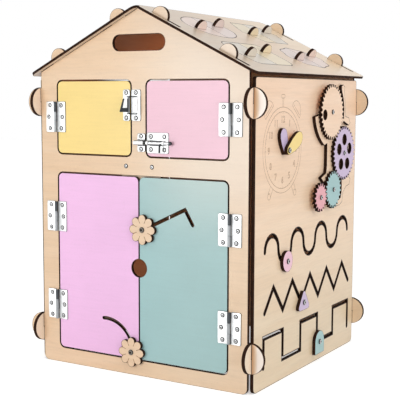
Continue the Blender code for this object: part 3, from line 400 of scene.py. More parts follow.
def band_in(work, region, scorch, rings):
    """Cuts rings along the rim of a flat region and fills the rest; gives the new faces.
    rings tells each ring's distance from the rim and its scorch at a place."""
    members = set(region)
    normal = region[0].normal.copy()
    rim = [(loop.vert, loop.link_loop_next.vert) for face in region for loop in face.loops
           if len(loop.edge.link_faces) < 2 or not all(other in members for other in loop.edge.link_faces)]
    inwards = {}
    for start, end in rim:
        for vert in (start, end):
            inwards.setdefault(vert, []).append(normal.cross((end.co - start.co).normalized()))
    bmesh.ops.delete(work, geom=region, context="FACES_KEEP_BOUNDARY")
    made = []
    row = {vert: vert for vert in inwards}
    for vert in inwards:
        vert[scorch] = 1.0
    for number in range(len(rings(rim[0][0].co))):
        ahead = {}
        for vert, ways in inwards.items():
            distance, share = rings(vert.co)[number]
            middle = sum(ways, Vector()).normalized()
            reach = distance / max(0.5, middle.dot(ways[0]))
            ahead[vert] = work.verts.new(vert.co + middle * reach)
            ahead[vert][scorch] = share
        made += [work.faces.new((row[start], row[end], ahead[end], ahead[start])) for start, end in rim]
        row = ahead
    inner = [work.edges.get((row[start], row[end])) for start, end in rim]
    filled = bmesh.ops.triangle_fill(work, use_beauty=True, edges=inner, normal=normal)["geom"]
    rest = [item for item in filled if isinstance(item, bmesh.types.BMFace)]
    for face in made + rest:
        face.normal_update()
        if face in rest and face.normal.dot(normal) < 0:
            face.normal_flip()
    return made + rest


def dress(node, axis, material, band, keep=None, knob=None, burnt=None):
    """The node's own shape, its cut edges told from its faces, with a scorched band beside each edge.
    keep picks the faces that stay, knob is the axis of a half-round grip on the sheet, and the band is
    broad inside burnt, two corners given as (y, z)."""
    work = bmesh.new()
    work.from_mesh(nodes[node].data)
    bmesh.ops.remove_doubles(work, verts=work.verts, dist=WELD)
    if keep:
        bmesh.ops.delete(work, geom=[f for f in work.faces if not keep(f)], context="FACES")
    bmesh.ops.dissolve_limit(work, angle_limit=ONE_PLANE, verts=work.verts, edges=work.edges)
    scorch = work.verts.layers.float.new("scorch")
    front = work.faces.layers.float.new("front")

    def rings(co):
        if not burnt:
            return ((band, 0.0),)
        if burnt[0][0] < co.y < burnt[1][0] and burnt[0][1] < co.z < burnt[1][1]:
            return BROAD_BURN_AND_SHADE
        return ((band / 2, 0.5), (band, 0.0))

    widest = max((f for f in work.faces if f.normal.dot(axis) > FLAT), key=lambda f: f.calc_area())
    top = widest.calc_center_median().dot(axis)
    groups = []
    for f in work.faces:
        f.material_index = 1
    for sign in (1, -1):
        groups.append([f for f in work.faces if f.normal.dot(axis) * sign > FLAT
                       and f.calc_center_median().dot(axis) < top + SHEET_TOP])
        if knob:
            groups.append([f for f in work.faces if f.normal.dot(knob) * sign > FLAT
                           and f.calc_center_median().dot(axis) > top + GRIP_FOOT])
    regions = [region for group in groups for region in islands(group)
               if sum(f.calc_area() for f in region) > SPECK]
    for region in regions:
        shown = 1.0 if region[0].normal.dot(axis) > -0.5 else 0.0
        for f in band_in(work, region, scorch, rings):
            f.material_index = 0
            f[front] = shown
    mesh = bpy.data.meshes.new(node + "_sheet")
    work.to_mesh(mesh)
    work.free()
    mesh.shade_smooth()
    mesh.set_sharp_from_angle(angle=SHARP)
    for polygon in mesh.polygons:
        polygon.use_smooth = polygon.material_index == 1
    show(mesh, node + "_sheet", body_of(node), [material, char_of(axis)], [node], slots[node])


# Widths of the scorched bands, and the part of the play wall where the tracks' edges get a broader dark
# band, partly scorch and partly painted shade of the dark tracks
PANEL_BAND, WALL_BAND, DOOR_BAND, SMALL_BAND = 0.0008, 0.0012, 0.0006, 0.0007
ROOF_BAND, BOARD_BAND, PUZZLE_BAND = 0.0011, 0.0014, 0.0005
TRACKS = ((-0.185, 0.03), (0.185, 0.30))

for node in ("front_panel", "back_panel", "door_stop", "flower_upper", "flower_lower"):
    dress(node, FRONT_AXIS, birch_back if node == "back_panel" else birch_front, PANEL_BAND)
dress("left_wall", SIDE_AXIS, birch_side, WALL_BAND)
dress("right_wall", SIDE_AXIS, birch_side, WALL_BAND, burnt=TRACKS)
dress("gear_natural", SIDE_AXIS, birch_side, SMALL_BAND)
# The teal door's paint gets a painted sheen towards its upper right
for node, word, sheen_share in (("yellow_shutter", "yellow", 0), ("pink_shutter", "pink", 0),
                           ("lilac_door", "lilac", 0), ("teal_door", "teal", 0.30)):
    dress(node, FRONT_AXIS, painted(word, FRONT_AXIS, X, sheen_share=sheen_share), DOOR_BAND)
for node, word in (("hour_hand", "violet"), ("minute_hand", "yellow"), ("gear_lilac", "violet"),
                   ("gear_teal", "teal"), ("gear_pink", "deep_pink"), ("disc_knob", "pink"),
                   ("triangle_knob", "violet"), ("arch_knob", "teal")):
    dress(node, SIDE_AXIS, painted(word, SIDE_AXIS, Y), SMALL_BAND)
dress("right_roof", RIGHT_ROOF_AXIS, birch_roof_right, ROOF_BAND)
dress("left_roof", LEFT_ROOF_AXIS, birch_roof_left, ROOF_BAND)
dress("puzzle_board", RIGHT_ROOF_AXIS, birch_roof_right, BOARD_BAND)
for letter, front_word, back_word in (("a", "pale_pink", "pale_violet"), ("b", "pale_yellow", "pale_blue"),
                                      ("c", "pale_blue", "pale_yellow"), ("d", "pale_violet", "pale_pink")):
    for side, word in (("front", front_word), ("back", back_word)):
        dress("puzzle_" + letter + "_" + side, RIGHT_ROOF_AXIS,
              painted(word, RIGHT_ROOF_AXIS, Y, ROOF_TONES), PUZZLE_BAND, knob=RIGHT_ROOF_DOWN)


def sooty(material):
    """Painted shade on the board under the gears, dark up to just inside each gear's rim."""
    tree = material.node_tree
    shader = tree.nodes["Principled BSDF"]
    point = add(tree, "TexCoord").outputs["Object"]
    flat = add(tree, "VectorMath", {0: point, 1: (0, 1, 1)}, operation="MULTIPLY").outputs[0]
    surface = shader.inputs["Base Color"].links[0].from_socket
    for gear in GEARS:
        low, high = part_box(gear)
        middle = (low + high) / 2
        reach = (high.z - low.z) / 2
        away = add(tree, "VectorMath", {0: flat, 1: (0, middle.y, middle.z)},
                   operation="DISTANCE").outputs["Value"]
        dark = change(tree, away, reach - 0.005, reach - 0.002, 0.92, 0.0)
        surface = mix(tree, dark, surface, srgb(44, 27, 24))
    tree.links.new(surface, shader.inputs["Base Color"])
    return material


# The axle bolts stand out beyond the gears' backs; they are left out here and made finer below
gear_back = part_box("gear_teal")[0].x
dress("gear_plate", SIDE_AXIS, sooty(plywood("gear_board", SIDE_AXIS, Y)), WALL_BAND,
      keep=lambda f: f.calc_center_median().x < gear_back - 0.0001)


# Metal fittings

SEAT = -0.2013              # y of the plane that the front's fittings stand on
METAL = 0.001               # thickness of the pressed plates
SUNK, SHADOW_RISE = 0.0001, 0.00012        # a line of painted contact shadow goes this far into its ground and rises this far
SCREW_RADIUS, SCREW_HEIGHT = 0.0027, 0.0010
HEAD_HEIGHT = 0.0022        # of the bolts' button heads
# Shares of a head's radius and height, from its foot up
HEAD = ((1.0, 0.0), (1.0, 0.30), (0.95, 0.58), (0.84, 0.82), (0.70, 0.95), (0.60, 1.0))
FRONT = Matrix(((1, 0, 0, 0), (0, 0, -1, 0), (0, 1, 0, 0), (0, 0, 0, 1)))
SIDE = Matrix(((0, 0, 1, 0), (1, 0, 0, 0), (0, 1, 0, 0), (0, 0, 0, 1)))
screw_turns = itertools.count(47, 47)


def front_at(x, y, z):
    """Frame at a point of the front: its local X runs to the right, its Y up and its Z outwards."""
    return Matrix.Translation((x, y, z)) @ FRONT


def side_at(x, y, z):
    """Frame at a point of the play wall: its local X runs to the back, its Y up and its Z outwards."""
    return Matrix.Translation((x, y, z)) @ SIDE


class Form:
    """Collects solids and lines, each with its materials, and becomes one piece."""

    def __init__(self):
        self.work = bmesh.new()
        self.materials = []

    def index(self, material):
        if material not in self.materials:
            self.materials.append(material)
        return self.materials.index(material)

    def add(self, part, matrix, *materials):
        """Takes the part in; its faces' material numbers count the given materials."""
        numbers = [self.index(material) for material in materials]
        bmesh.ops.recalc_face_normals(part, faces=part.faces)
        for face in part.faces:
            face.material_index = numbers[min(face.material_index, len(numbers) - 1)]
        bmesh.ops.transform(part, matrix=matrix, verts=part.verts)
        if matrix.to_3x3().determinant() < 0:
            bmesh.ops.reverse_faces(part, faces=part.faces)
        mesh = bpy.data.meshes.new("part")
        part.to_mesh(mesh)
        part.free()
        self.work.from_mesh(mesh)
        bpy.data.meshes.remove(mesh)

    def done(self, name, body, *replaced, slot="zinc"):
        mesh = bpy.data.meshes.new(name)
        self.work.to_mesh(mesh)
        self.work.free()
        mesh.shade_smooth()
        mesh.set_sharp_from_angle(angle=SHARP_METAL)
        show(mesh, name, body, self.materials, replaced, slot)


def polar(centre, radius, degrees):
    turn = math.radians(degrees)
    return centre[0] + radius * math.cos(turn), centre[1] + radius * math.sin(turn)


def bow(centre, radius, start, end, steps):
    """Points of an arc between two angles in degrees."""
    return [polar(centre, radius, start + (end - start) * i / steps) for i in range(steps + 1)]


def circle(radius, count, centre=(0, 0)):
    return [polar(centre, radius, 360 * i / count) for i in range(count)]


def rounded(left, low, right, high, *radii):
    """Outline of a rectangle; the radii go round its corners from the lower left one to the right."""
    radii = radii * 4 if len(radii) == 1 else radii
    corners = ((left, low, 1, 1, 180), (right, low, -1, 1, 270),
               (right, high, -1, -1, 0), (left, high, 1, -1, 90))
    outline = []
    for (x, y, inward_x, inward_y, start), radius in zip(corners, radii):
        if radius > 0:
            outline += bow((x + inward_x * radius, y + inward_y * radius), radius, start, start + 90, 5)
        else:
            outline.append((x, y))
    return outline


def round_pairs(row):
    """Each item with the next one, and the last with the first."""
    return zip(row, row[1:] + row[:1])


def join(part, a, b, material=0):
    """Faces between two closed rows of vertices, either of which may be a single point."""
    for i in range(max(len(a), len(b))):
        j = i + 1
        corners = []
        for vert in (a[i % len(a)], a[j % len(a)], b[j % len(b)], b[i % len(b)]):
            if vert not in corners:
                corners.append(vert)
        if len(corners) > 2:
            part.faces.new(corners).material_index = material


def slab(outline, low, high, bevel=0.0):
    """Prism of an outline in the local XY plane, its sides of material 1 and its upper rim rounded off."""
    part = bmesh.new()
    below = [part.verts.new((x, y, low)) for x, y in outline]
    above = [part.verts.new((x, y, high)) for x, y in outline]
    part.faces.new(below[::-1])
    part.faces.new(above)
    join(part, below, above, 1)
    if bevel:
        rim = [e for e in part.edges if all(v.co.z > high - 0.000001 for v in e.verts)]
        bmesh.ops.bevel(part, geom=rim, offset=bevel, segments=2, profile=0.5, affect="EDGES")
    return part


def lathe(profile, steps, closed=False):
    """Solid turned about the local Z axis from pairs of radius and height."""
    part = bmesh.new()
    rows = [[part.verts.new((x, y, height)) for x, y in circle(radius, steps if radius > 0 else 1)]
            for radius, height in profile]
    for a, b in round_pairs(rows) if closed else zip(rows, rows[1:]):
        join(part, a, b)
    return part


def rod(radius, low, high, steps):
    return lathe([(0, low), (radius, low), (radius, high), (0, high)], steps)


def driven_head(radius, height, recess, depth, steps):
    """Domed head on the local plane z = 0, its recess of material 1 and its lower slope of material 2."""
    part = bmesh.new()
    rows = [[part.verts.new((x, y, height * rise)) for x, y in circle(radius * width, steps)]
            for width, rise in HEAD]
    part.faces.new(rows[0][::-1])
    for number, (a, b) in enumerate(zip(rows, rows[1:])):
        join(part, a, b, 2 if number < 3 else 0)
    mouth = [part.verts.new((x, y, height)) for x, y in recess]
    bottom = [part.verts.new((x * 0.8, y * 0.8, height - depth)) for x, y in recess]
    edges = [part.edges.new(pair) for pair in round_pairs(mouth)]
    edges += [part.edges.get(pair) for pair in round_pairs(rows[-1])]
    bmesh.ops.triangle_fill(part, use_beauty=True, edges=edges)
    join(part, mouth, bottom, 1)
    part.faces.new(bottom).material_index = 1
    return part


def cross_recess(radius):
    reach, half = 0.52 * radius, 0.16 * radius
    arm = ((reach, -half), (reach, half), (half, half))
    return [(x * cos - y * sin, x * sin + y * cos)
            for cos, sin in ((1, 0), (0, 1), (-1, 0), (0, -1)) for x, y in arm]


def add_screw(form, matrix):
    """Cross-head screw in a pressed dimple of its plate, turned on from the last one; the dimple, the head's
    lower slope and the recess are painted dark as shade.
    """
    turn = Matrix.Rotation(math.radians(next(screw_turns)), 4, "Z")
    head = driven_head(SCREW_RADIUS, SCREW_HEIGHT, cross_recess(SCREW_RADIUS), SCREW_HEIGHT * 0.7, 24)
    form.add(head, matrix @ turn, screw_steel, recess_shade, shaded_dimple)
    dimple = [(SCREW_RADIUS * width, height) for width, height in
              ((0.9, -0.0002), (0.9, 0.00005), (1.24, 0.00008), (1.42, 0.00003), (1.42, -0.0002))]
    form.add(lathe(dimple, 24, closed=True), matrix, shaded_dimple)


def add_screws(form, seat, x, rise):
    """Two screws of a plate, one below and one above its middle."""
    for way in (-1, 1):
        add_screw(form, seat @ Matrix.Translation((x, way * rise, METAL)))


def add_bolt(form, matrix, metal, radius):
    """Button-head bolt with a hexagon socket, the socket and the head's foot painted dark as shade."""
    head = driven_head(radius, HEAD_HEIGHT, circle(radius * 0.46, 6), HEAD_HEIGHT * 0.6, 32)
    form.add(head, matrix, metal, recess_shade, shaded_dimple)


def add_dirt(form, matrix, outline, ground=0.0):
    """Painted contact shadow: a thin dark patch, seen as a line round what stands on it."""
    form.add(slab(outline, ground - SUNK, ground + SHADOW_RISE), matrix, shadow_steel)


def add_plate(form, matrix, left, low, right, high, corner=0.0025, thick=METAL, square_left=False):
    """Pressed plate with its cut sides painted dark as shade, on a thin line of painted contact shadow round
    its foot.
    """
    inner, grow = 0 if square_left else corner, 0.0004
    form.add(slab(rounded(left, low, right, high, inner, corner, corner, inner), 0, thick, 0.00025),
             matrix, plate_steel, shadow_steel)
    add_dirt(form, matrix, rounded(left - grow, low - grow, right + grow, high + grow, corner))


def add_wire(form, points, radius, corner, matrix=Matrix()):
    """Round wire through the points, its bends rounded, painted dark as shade."""
    points = [Vector(point) for point in points]
    path = points[:1]
    for before, here, after in zip(points, points[1:], points[2:]):
        start = here + (before - here).normalized() * corner
        end = here + (after - here).normalized() * corner
        path += [start.lerp(here, i / 4).lerp(here.lerp(end, i / 4), i / 4) for i in range(5)]
    path += points[-1:]
    part = bmesh.new()
    rows = []
    normal = (path[1] - path[0]).normalized().orthogonal()
    for i, point in enumerate(path):
        tangent = (path[min(i + 1, len(path) - 1)] - path[max(i - 1, 0)]).normalized()
        normal = (normal - tangent * normal.dot(tangent)).normalized()
        binormal = tangent.cross(normal)
        rows.append([part.verts.new(point + normal * x + binormal * y) for x, y in circle(radius, 14)])
    part.faces.new(rows[0][::-1])
    for a, b in zip(rows, rows[1:]):
        join(part, a, b)
    part.faces.new(rows[-1])
    form.add(part, matrix, shadow_steel)


# Hinges
HINGE_X, HINGE_Y = 0.167, -0.2039   # of the pins, left and right of the middle
LEAF_HALF, LEAF_REACH, LEAF_METAL = 0.025, 0.020, 0.0012
KNUCKLE, EASE, PLAY = 0.0026, 0.00035, 0.0003
THIRD = LEAF_HALF / 3               # half the length of a knuckle


def hinge(name, side, height, door_body):
    """Butt hinge: the frame leaf has the outer knuckles and the pin, the door leaf the middle knuckle."""
    axis = Matrix.Translation((side * HINGE_X, HINGE_Y, height))
    for kind, way, body in (("frame", side, "house"), ("door", -side, door_body)):
        form = Form()
        flat = front_at(side * HINGE_X, SEAT, height) @ Matrix.Diagonal((way, 1, 1, 1))
        add_plate(form, flat, KNUCKLE + PLAY, -LEAF_HALF, LEAF_REACH, LEAF_HALF, 0.0016, LEAF_METAL, True)
        spans = [(-LEAF_HALF, -THIRD), (THIRD, LEAF_HALF)]
        if kind == "door":
            spans = [(-THIRD + PLAY, THIRD - PLAY)]
        for low, high in spans:
            tongue = rounded(0.0004, low, KNUCKLE + 0.0006, high, 0)
            form.add(slab(tongue, 0, LEAF_METAL), flat, plate_steel)
            # Painted shade on the knuckles, the upper outer one darkest
            barrel = [(0, low), (KNUCKLE - EASE, low), (KNUCKLE, low + EASE), (KNUCKLE, high - EASE),
                      (KNUCKLE - EASE, high), (0, high)]
            form.add(lathe(barrel, 32), axis, darker_shaded_barrel if high == LEAF_HALF else shaded_barrel_steel)
            # Painted shade: a dark strip in the crease where the leaf meets the knuckle
            crease = rounded(KNUCKLE - 0.0003, low, KNUCKLE + 0.00035, high, 0)
            form.add(slab(crease, LEAF_METAL - SUNK, LEAF_METAL + 0.0009), flat, recess_shade)
        if kind == "frame":
            pin = [(0, -LEAF_HALF - 0.0002), (0.0011, -LEAF_HALF), (0.0011, LEAF_HALF),
                   (0.0006, LEAF_HALF + 0.0003), (0, LEAF_HALF + 0.0004)]
            form.add(lathe(pin, 20), axis, screw_steel)
        for rise, reach in ((-0.019, 0.0117), (0, 0.0143), (0.019, 0.0117)):
            add_screw(form, flat @ Matrix.Translation((reach, rise, LEAF_METAL)))
        form.done(name + "_" + kind + "_leaf_fine", body, name + "_" + kind + "_leaf")


SHUTTER_HINGE, LOWER_HINGE, UPPER_HINGE = 0.417113, 0.100425, 0.250675      # heights of their middles
hinge("yellow_hinge", -1, SHUTTER_HINGE, "yellow_shutter")
hinge("pink_hinge", 1, SHUTTER_HINGE, "pink_shutter")
for door, side in (("lilac", -1), ("teal", 1)):
    hinge(door + "_lower_hinge", side, LOWER_HINGE, door + "_door")
    hinge(door + "_upper_hinge", side, UPPER_HINGE, door + "_door")

# Draw latch
LATCH_Z = 0.437342
WIRE = 0.0008
pivot = Matrix.Translation((-0.01935, -0.2053, LATCH_Z))
PLATE_HALF, SCREW_RISE, EAR_RISE = 0.0245, 0.020, 0.012
seat = front_at(0, SEAT, LATCH_Z)
form = Form()
add_plate(form, seat, -0.0291, -PLATE_HALF, -0.0166, PLATE_HALF)
add_screws(form, seat, -0.02285, SCREW_RISE)
for way in (-1, 1):
    ear = rounded(-0.0221, -0.2069, -0.0166, -0.2020, 0.0016, 0.0016, 0, 0)
    form.add(slab(ear, -METAL / 2, METAL / 2, 0.0002), Matrix.Translation((0, 0, LATCH_Z + way * EAR_RISE)),
             screw_steel)
form.add(rod(WIRE, -EAR_RISE, EAR_RISE, 14), pivot, screw_steel)
form.done("latch_base_fine", "yellow_shutter", "latch_base")

# The lever is a slanting leaf on a barrel, its foot rolled to a lip; the barrel and the lip are painted dark
# as shade
swing = pivot @ Matrix.Rotation(math.radians(50), 4, "Z")
stand = swing @ Matrix.Translation((0, -0.0009, 0)) @ FRONT
half, foot, near = 0.0107, -0.0043, -0.0002
face = [(near, foot), (near, half), (-0.0046, half), (-0.007725, foot)]
lip = [(-0.0047, half), (-0.0070, half - 0.0006), (-0.0125, -half + 0.0008), (-0.0117, -half),
       (near, -half), (near, foot), (-0.007825, foot)]
form = Form()
form.add(lathe([(0.0011, -half), (0.0019, -half), (0.0019, half), (0.0011, half)], 28, closed=True),
         swing, shadow_steel)
form.add(slab(face, 0, METAL, 0.0002), stand, plate_steel)
form.add(slab(lip, -SUNK, METAL + SUNK), stand, shadow_steel)
form.done("latch_lever_fine", "latch_lever", "latch_lever")

ends, across, reach = 0.0128, 0.0136, 0.0215
turned = pivot @ Matrix.Rotation(math.radians(-8), 4, "Z")
form = Form()
# The bail's upper and lower wires are painted dark as shade, its upright is bright
for way in (1, -1):
    add_wire(form, [(0, 0, way * ends), (0, 0, way * across), (reach, 0, way * across),
                    (reach, 0, way * (across - 0.0014))], WIRE, 0.0010, turned)
form.add(rod(WIRE, 0.0012 - across, across - 0.0012, 14), turned @ Matrix.Translation((reach, 0, 0)),
         plate_steel)
form.done("latch_bail_fine", "latch_bail", "latch_bail")

STRIKE_X, HOOK = -0.0043, 0.0036
form = Form()
add_plate(form, seat, -0.0128, -PLATE_HALF, 0.0042, PLATE_HALF)
add_screws(form, seat, STRIKE_X, SCREW_RISE)
# The hook's top and bottom ends are painted dark as shade
hook = [(-0.003, -METAL / 2), (-0.003, -0.0030), (-0.0024, -HOOK), (0.003, -HOOK), (0.003, -0.0026),
        (-0.0020, -0.0026), (-0.0020, -METAL / 2)]
form.add(slab(hook, -0.010, 0.010), Matrix.Translation((STRIKE_X, SEAT, LATCH_Z)), shadow_steel, plate_steel)
form.add(lathe([(0, 0.0003), (0.0010, 0.0002), (0.0012, -0.0002), (0, -0.0002)], 16),
         front_at(STRIKE_X + 0.0003, SEAT - HOOK, LATCH_Z), recess_shade)
form.done("latch_strike_fine", "house", "latch_strike")

# Slide bolt
ROD_Y, ROD_Z = SEAT - 0.0043, 0.378678
TUBE, BORE, KNOB, BOLT_SCREW_RISE = 0.0038, 0.0028, 0.0050, 0.0102
TUBE_FOOT = (0.0005, 0.0018)        # from here to here above the seat
ALONG = Matrix(((0, 0, 1, 0), (0, 1, 0, 0), (-1, 0, 0, 0), (0, 0, 0, 1)))
seat = front_at(0, SEAT, ROD_Z)


def along_at(x):
    """Frame on the rod's axis, its local Z towards the right."""
    return Matrix.Translation((x, ROD_Y, ROD_Z)) @ ALONG


def guide(form, left, length):
    form.add(lathe([(BORE, 0), (TUBE - 0.0003, 0), (TUBE, 0.0003), (TUBE, length - 0.0003),
                    (TUBE - 0.0003, length), (BORE, length)], 32, closed=True), along_at(left), tube_steel)
    form.add(slab(rounded(left, -TUBE, left + length, TUBE, 0), *TUBE_FOOT), seat, tube_steel)


form = Form()
add_plate(form, seat, 0.0166, -0.016, 0.0566, 0.016)
# Painted shadow of the rod on the plate
add_dirt(form, seat, rounded(0.0216, -0.0044, 0.0480, 0.0040, 0.0003), METAL)
for x in (0.0241, 0.0491):
    add_screws(form, seat, x, BOLT_SCREW_RISE)
for left in (0.0181, 0.0480):
    guide(form, left, 0.0035)
form.done("bolt_plate_fine", "pink_shutter", "bolt_plate")

rod_low, rod_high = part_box("bolt_rod")
length = rod_high.x - rod_low.x - KNOB + 0.0002
handle_x, handle_y = 0.0448, ROD_Y - 0.0040
form = Form()
form.add(lathe([(0, 0), (0.0013, 0), (0.0025, 0.0014), (0.0025, length), (0, length)], 32),
         along_at(rod_low.x), rod_steel)
# Knob, painted dark as shade
form.add(lathe([(0, 0), (0.0024, 0), (0.0029, 0.0006), (0.0029, KNOB - 0.0012), (0.0022, KNOB - 0.0003),
                (0, KNOB)], 32), along_at(rod_high.x - KNOB), darker_shaded_barrel)
# Handle, painted dark as shade
add_wire(form, [(handle_x, ROD_Y, ROD_Z), (handle_x, handle_y, ROD_Z - 0.0050),
                (handle_x, handle_y, ROD_Z - 0.0148)], 0.0015, 0.0025)
form.done("bolt_rod_fine", "bolt_rod", "bolt_rod")

form = Form()
add_plate(form, seat, -0.0017, -0.01425, 0.0125, 0.01425)
# Painted shadow of the tube on the plate
add_dirt(form, seat, rounded(-0.0010, -0.0052, 0.0125, 0.0052, 0.0003), METAL)
add_screws(form, seat, 0.0054, BOLT_SCREW_RISE)
form.add(lathe([(BORE, 0), (0.0033, 0), (TUBE, 0.0005), (TUBE, 0.0185), (BORE, 0.0185)], 32, closed=True),
         along_at(-0.0060), tube_steel)
form.add(slab(rounded(-0.0017, -TUBE, 0.0125, TUBE, 0), *TUBE_FOOT), seat, plate_steel)
form.done("bolt_keeper_fine", "house", "bolt_keeper")

# Screws of the lintel and bolts of the moving pieces
for name, x in (("stop_screw_left", -0.0249), ("stop_screw_right", 0.0249)):
    form = Form()
    add_screw(form, front_at(x, FRONT_FACE, 0.3405))
    form.done(name + "_fine", "house", name)

SHANK, WASHER, NUT = 0.0020, 0.0055, 0.0044         # radii
WASHER_HEIGHT, NUT_HEIGHT, OVERLAP = 0.0008, 0.0024, 0.0002


def bolt(node, sideways):
    """Finer button head in place of the CAD bolt's outward end, and its shank.
    A long bolt has a washer and a nut behind."""
    low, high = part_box(node)
    middle = (low + high) / 2
    form = Form()
    if sideways:
        matrix = side_at(high.x - HEAD_HEIGHT, middle.y, middle.z)
        depth = high.x - low.x - HEAD_HEIGHT
    else:
        matrix = front_at(middle.x, low.y + HEAD_HEIGHT, middle.z)
        depth = high.y - low.y - HEAD_HEIGHT
    add_bolt(form, matrix, bolt_steel if sideways else dull_steel, 0.0045)
    if depth > 0.008:
        nut_top = NUT_HEIGHT - depth
        washer_top = nut_top + WASHER_HEIGHT
        form.add(lathe([(0, OVERLAP), (SHANK, OVERLAP), (SHANK, washer_top), (WASHER, washer_top),
                        (WASHER, nut_top), (0, nut_top)], 24), matrix, plate_steel)
        form.add(slab(circle(NUT, 6), -depth, nut_top), matrix, plate_steel)
    else:
        form.add(rod(SHANK, -depth, OVERLAP, 24), matrix, plate_steel)
    form.done(node + "_fine", body_of(node), node)


for node in ("flower_upper_bolt", "flower_lower_bolt"):
    bolt(node, False)
for node in [name for name in nodes if name.endswith("_bolt") and "flower" not in name]:
    bolt(node, True)

# Button heads of the gears' axles
head_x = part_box("gear_plate")[1].x - HEAD_HEIGHT
for name in GEARS:
    low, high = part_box(name)
    middle = (low + high) / 2
    form = Form()
    add_bolt(form, side_at(head_x, middle.y, middle.z), bolt_steel, 0.0040)
    form.done("axle_" + name, "house", "gear_plate")


# Burnt lines

LIFT = 0.00004              # of the lines above the wood
LINE = 0.0006
DIAL = (-0.103, 0.3685)     # y and z of its middle
OUTER_RING, INNER_RING, HOUR_RING, HUB = 0.067, 0.060, 0.0475, 0.0075
BELL, FOOT = 0.0165, 0.0048     # radii
engraved, tree, shader = blank("engraved_line", 0.8)
soot = noise(tree, add(tree, "TexCoord").outputs["Object"], 300.0, 2.0)
brown = ramp(tree, soot, (0.3, srgb(132, 92, 60)), (0.7, srgb(176, 134, 98)))
tree.links.new(brown, shader.inputs["Base Color"])


def ribbon(form, points, width, closed=False, matrix=side_at(WALL_FACE + LIFT, 0, 0)):
    """Thin burnt line through points of the matrix's plane, on the wall unless another is given."""
    part = bmesh.new()
    count = len(points)
    rows = []
    for i, (x, y) in enumerate(points):
        before = points[(i - 1) % count] if closed or i > 0 else points[i]
        after = points[(i + 1) % count] if closed or i < count - 1 else points[i]
        along = Vector((after[0] - before[0], after[1] - before[1])).normalized()
        off = Vector((-along.y, along.x)) * width / 2
        rows.append((part.verts.new((x + off.x, y + off.y, 0)), part.verts.new((x - off.x, y - off.y, 0))))
    for a, b in round_pairs(rows) if closed else zip(rows, rows[1:]):
        part.faces.new((a[0], a[1], b[1], b[0]))
    form.add(part, matrix, engraved)


form = Form()
for radius, steps in ((OUTER_RING, 96), (INNER_RING, 96), (HUB, 24)):
    ribbon(form, circle(radius, steps, DIAL), LINE, True)
for minute in range(60):
    start = 0.0565 if minute % 5 == 0 else 0.0582
    ribbon(form, [polar(DIAL, radius, 90 - 6 * minute) for radius in (start, INNER_RING)], LINE * 0.8)
for way in (-1, 1):
    # Bell, with two lines for its rim
    tilt = 90 - way * 38
    bell = polar(DIAL, 0.0765, tilt)
    ribbon(form, bow(bell, BELL, tilt - 96, tilt + 96, 32), LINE)
    ribbon(form, [polar(bell, BELL, tilt + turn) for turn in (-96, 96)], LINE)
    ribbon(form, [polar(bell, BELL - 0.003, tilt + turn) for turn in (-80, 80)], LINE)
    # Foot
    leg, leg_end = -90 + way * 33, 0.083
    for spread in (-4, 4):
        ribbon(form, [polar(DIAL, OUTER_RING, leg + spread), polar(DIAL, leg_end, leg + spread * 0.8)], LINE)
    ribbon(form, circle(FOOT, 20, polar(DIAL, leg_end, leg)), LINE, True)
# Striker between the bells
across, up = DIAL
striker_foot, striker_top = up + OUTER_RING, up + 0.081
for off in (-0.0016, 0.0016):
    ribbon(form, [(across + off, striker_foot), (across + off, striker_top)], LINE)
ribbon(form, rounded(across - 0.006, striker_top, across + 0.006, striker_top + 0.0055, 0.0022), LINE, True)
form.done("dial_lines", "house", slot="birch")

# Petal lines of the flowers
for flower in ("flower_upper", "flower_lower"):
    low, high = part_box(flower)
    middle = (low + high) / 2
    plane = front_at(middle.x, low.y - LIFT, middle.z)
    form = Form()
    for number in range(8):
        ends = [polar((0, 0), radius, 22.5 + 45 * number) for radius in (0.0110, 0.0195)]
        ribbon(form, ends, 0.0009, matrix=plane)
    form.done(flower + "_lines", body_of(flower), slot="birch")

flattened = Matrix.Diagonal((1, 1, 0.2, 1))
for hour in range(1, 13):
    text = bpy.data.curves.new("hour_%d" % hour, "FONT")
    text.body = str(hour)
    text.size = 0.0145
    text.align_x, text.align_y = "CENTER", "CENTER"
    text.fill_mode = "NONE"
    text.bevel_depth = 0.00028
    text.bevel_resolution = 0
    text.resolution_u = 3
    text.materials.append(engraved)
    piece = bpy.data.objects.new("hour_%d" % hour, text)
    scene.collection.objects.link(piece)
    piece.matrix_world = side_at(WALL_FACE, *polar(DIAL, HOUR_RING, 90 - 30 * hour)) @ flattened
    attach(piece, "house")


# Camera, floor and light

azimuth, elevation, roll = math.radians(31.142), math.radians(6.099), math.radians(0.18)
lens = bpy.data.cameras.new("camera")
lens.lens = 86.94
lens.sensor_width = 36
lens.clip_start = 0.05
camera = bpy.data.objects.new("camera", lens)
scene.collection.objects.link(camera)
look = Vector((-math.sin(azimuth) * math.cos(elevation), math.cos(azimuth) * math.cos(elevation),
               -math.sin(elevation)))
right = Vector((math.cos(azimuth), math.sin(azimuth), 0))
up = right.cross(look)
side = right * math.cos(roll) + up * math.sin(roll)
top = up * math.cos(roll) - right * math.sin(roll)
turned = Matrix((side, top, -look)).transposed().to_4x4()
camera.matrix_world = Matrix.Translation((0.8747, -1.4605, 0.4510)) @ turned
scene.camera = camera


def white_for_camera(tree, strength):
    """Strength that only rays from the camera, reflections and transmission meet."""
    path = add(tree, "LightPath").outputs
    seen = math_node(tree, "MAXIMUM", path["Is Glossy Ray"], path["Is Transmission Ray"])
    seen = math_node(tree, "MAXIMUM", path["Is Camera Ray"], seen)
    return math_node(tree, "MULTIPLY", seen, strength)


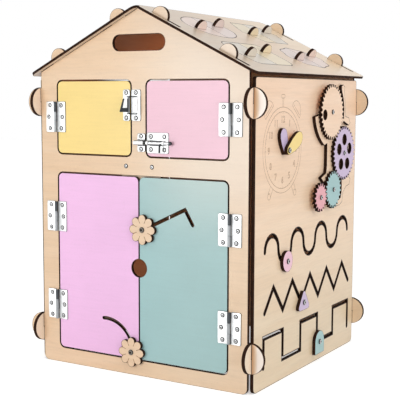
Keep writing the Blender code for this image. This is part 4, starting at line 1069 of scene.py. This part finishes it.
world = bpy.data.worlds.new("studio")
scene.world = world
world.use_nodes = True
tree = world.node_tree
sky = tree.nodes["Background"]
sky.inputs["Color"].default_value = WHITE
tree.links.new(math_node(tree, "ADD", 0.55, white_for_camera(tree, 0.45)), sky.inputs["Strength"])

mesh = bpy.data.meshes.new("floor")
work = bmesh.new()
bmesh.ops.create_grid(work, x_segments=1, y_segments=1, size=6)
work.to_mesh(mesh)
work.free()
floor = bpy.data.objects.new("floor", mesh)
scene.collection.objects.link(floor)
material, tree, shader = blank("pale_floor", 0.8)
shader.inputs["Base Color"].default_value = (0.93, 0.93, 0.93, 1)
shader.inputs["Emission Color"].default_value = WHITE
tree.links.new(white_for_camera(tree, 0.5), shader.inputs["Emission Strength"])
mesh.materials.append(material)


def lamp(name, kind, place, target, power):
    """Lamp at a place, pointed at the target."""
    light = bpy.data.lights.new(name, kind)
    light.energy = power
    obj = bpy.data.objects.new(name, light)
    scene.collection.objects.link(obj)
    obj.location = place
    obj.rotation_euler = (Vector(target) - Vector(place)).to_track_quat("-Z", "Y").to_euler()
    return light


for name, place, target, power, size in (
        ("key", (-0.95, -2.5, 1.0), (0, 0, 0.3), 5.4, 2.2),
        ("sheen", (-0.78, -2.1, 0.46), (0.05, 0, 0.4), 10, 0.9),
        ("side", (2.6, -0.6, 1.4), (0, 0, 0.35), 25, 1.8)):
    light = lamp(name, "AREA", place, target, power)
    light.shape = "DISK"
    light.size = size
# Warm glow on the roof's underside behind the carrying slot, and on the left wall behind the finger hole
for name, place, target, power, tint, width, blend in (
        ("inside", (0.02, 0.06, 0.40), (-0.09, -0.08, 0.54), 0.42, (1.0, 0.34, 0.17), 70, 0.6),
        ("inside_low", (-0.02, 0.10, 0.11), (-0.2, 0.088, 0.094), 0.20, (1.0, 0.34, 0.2), 50, 0.8)):
    light = lamp(name, "SPOT", place, target, power)
    light.color = tint
    light.shadow_soft_size = 0.02
    light.spot_size = math.radians(width)
    light.spot_blend = blend
scene.view_settings.view_transform = "Standard"
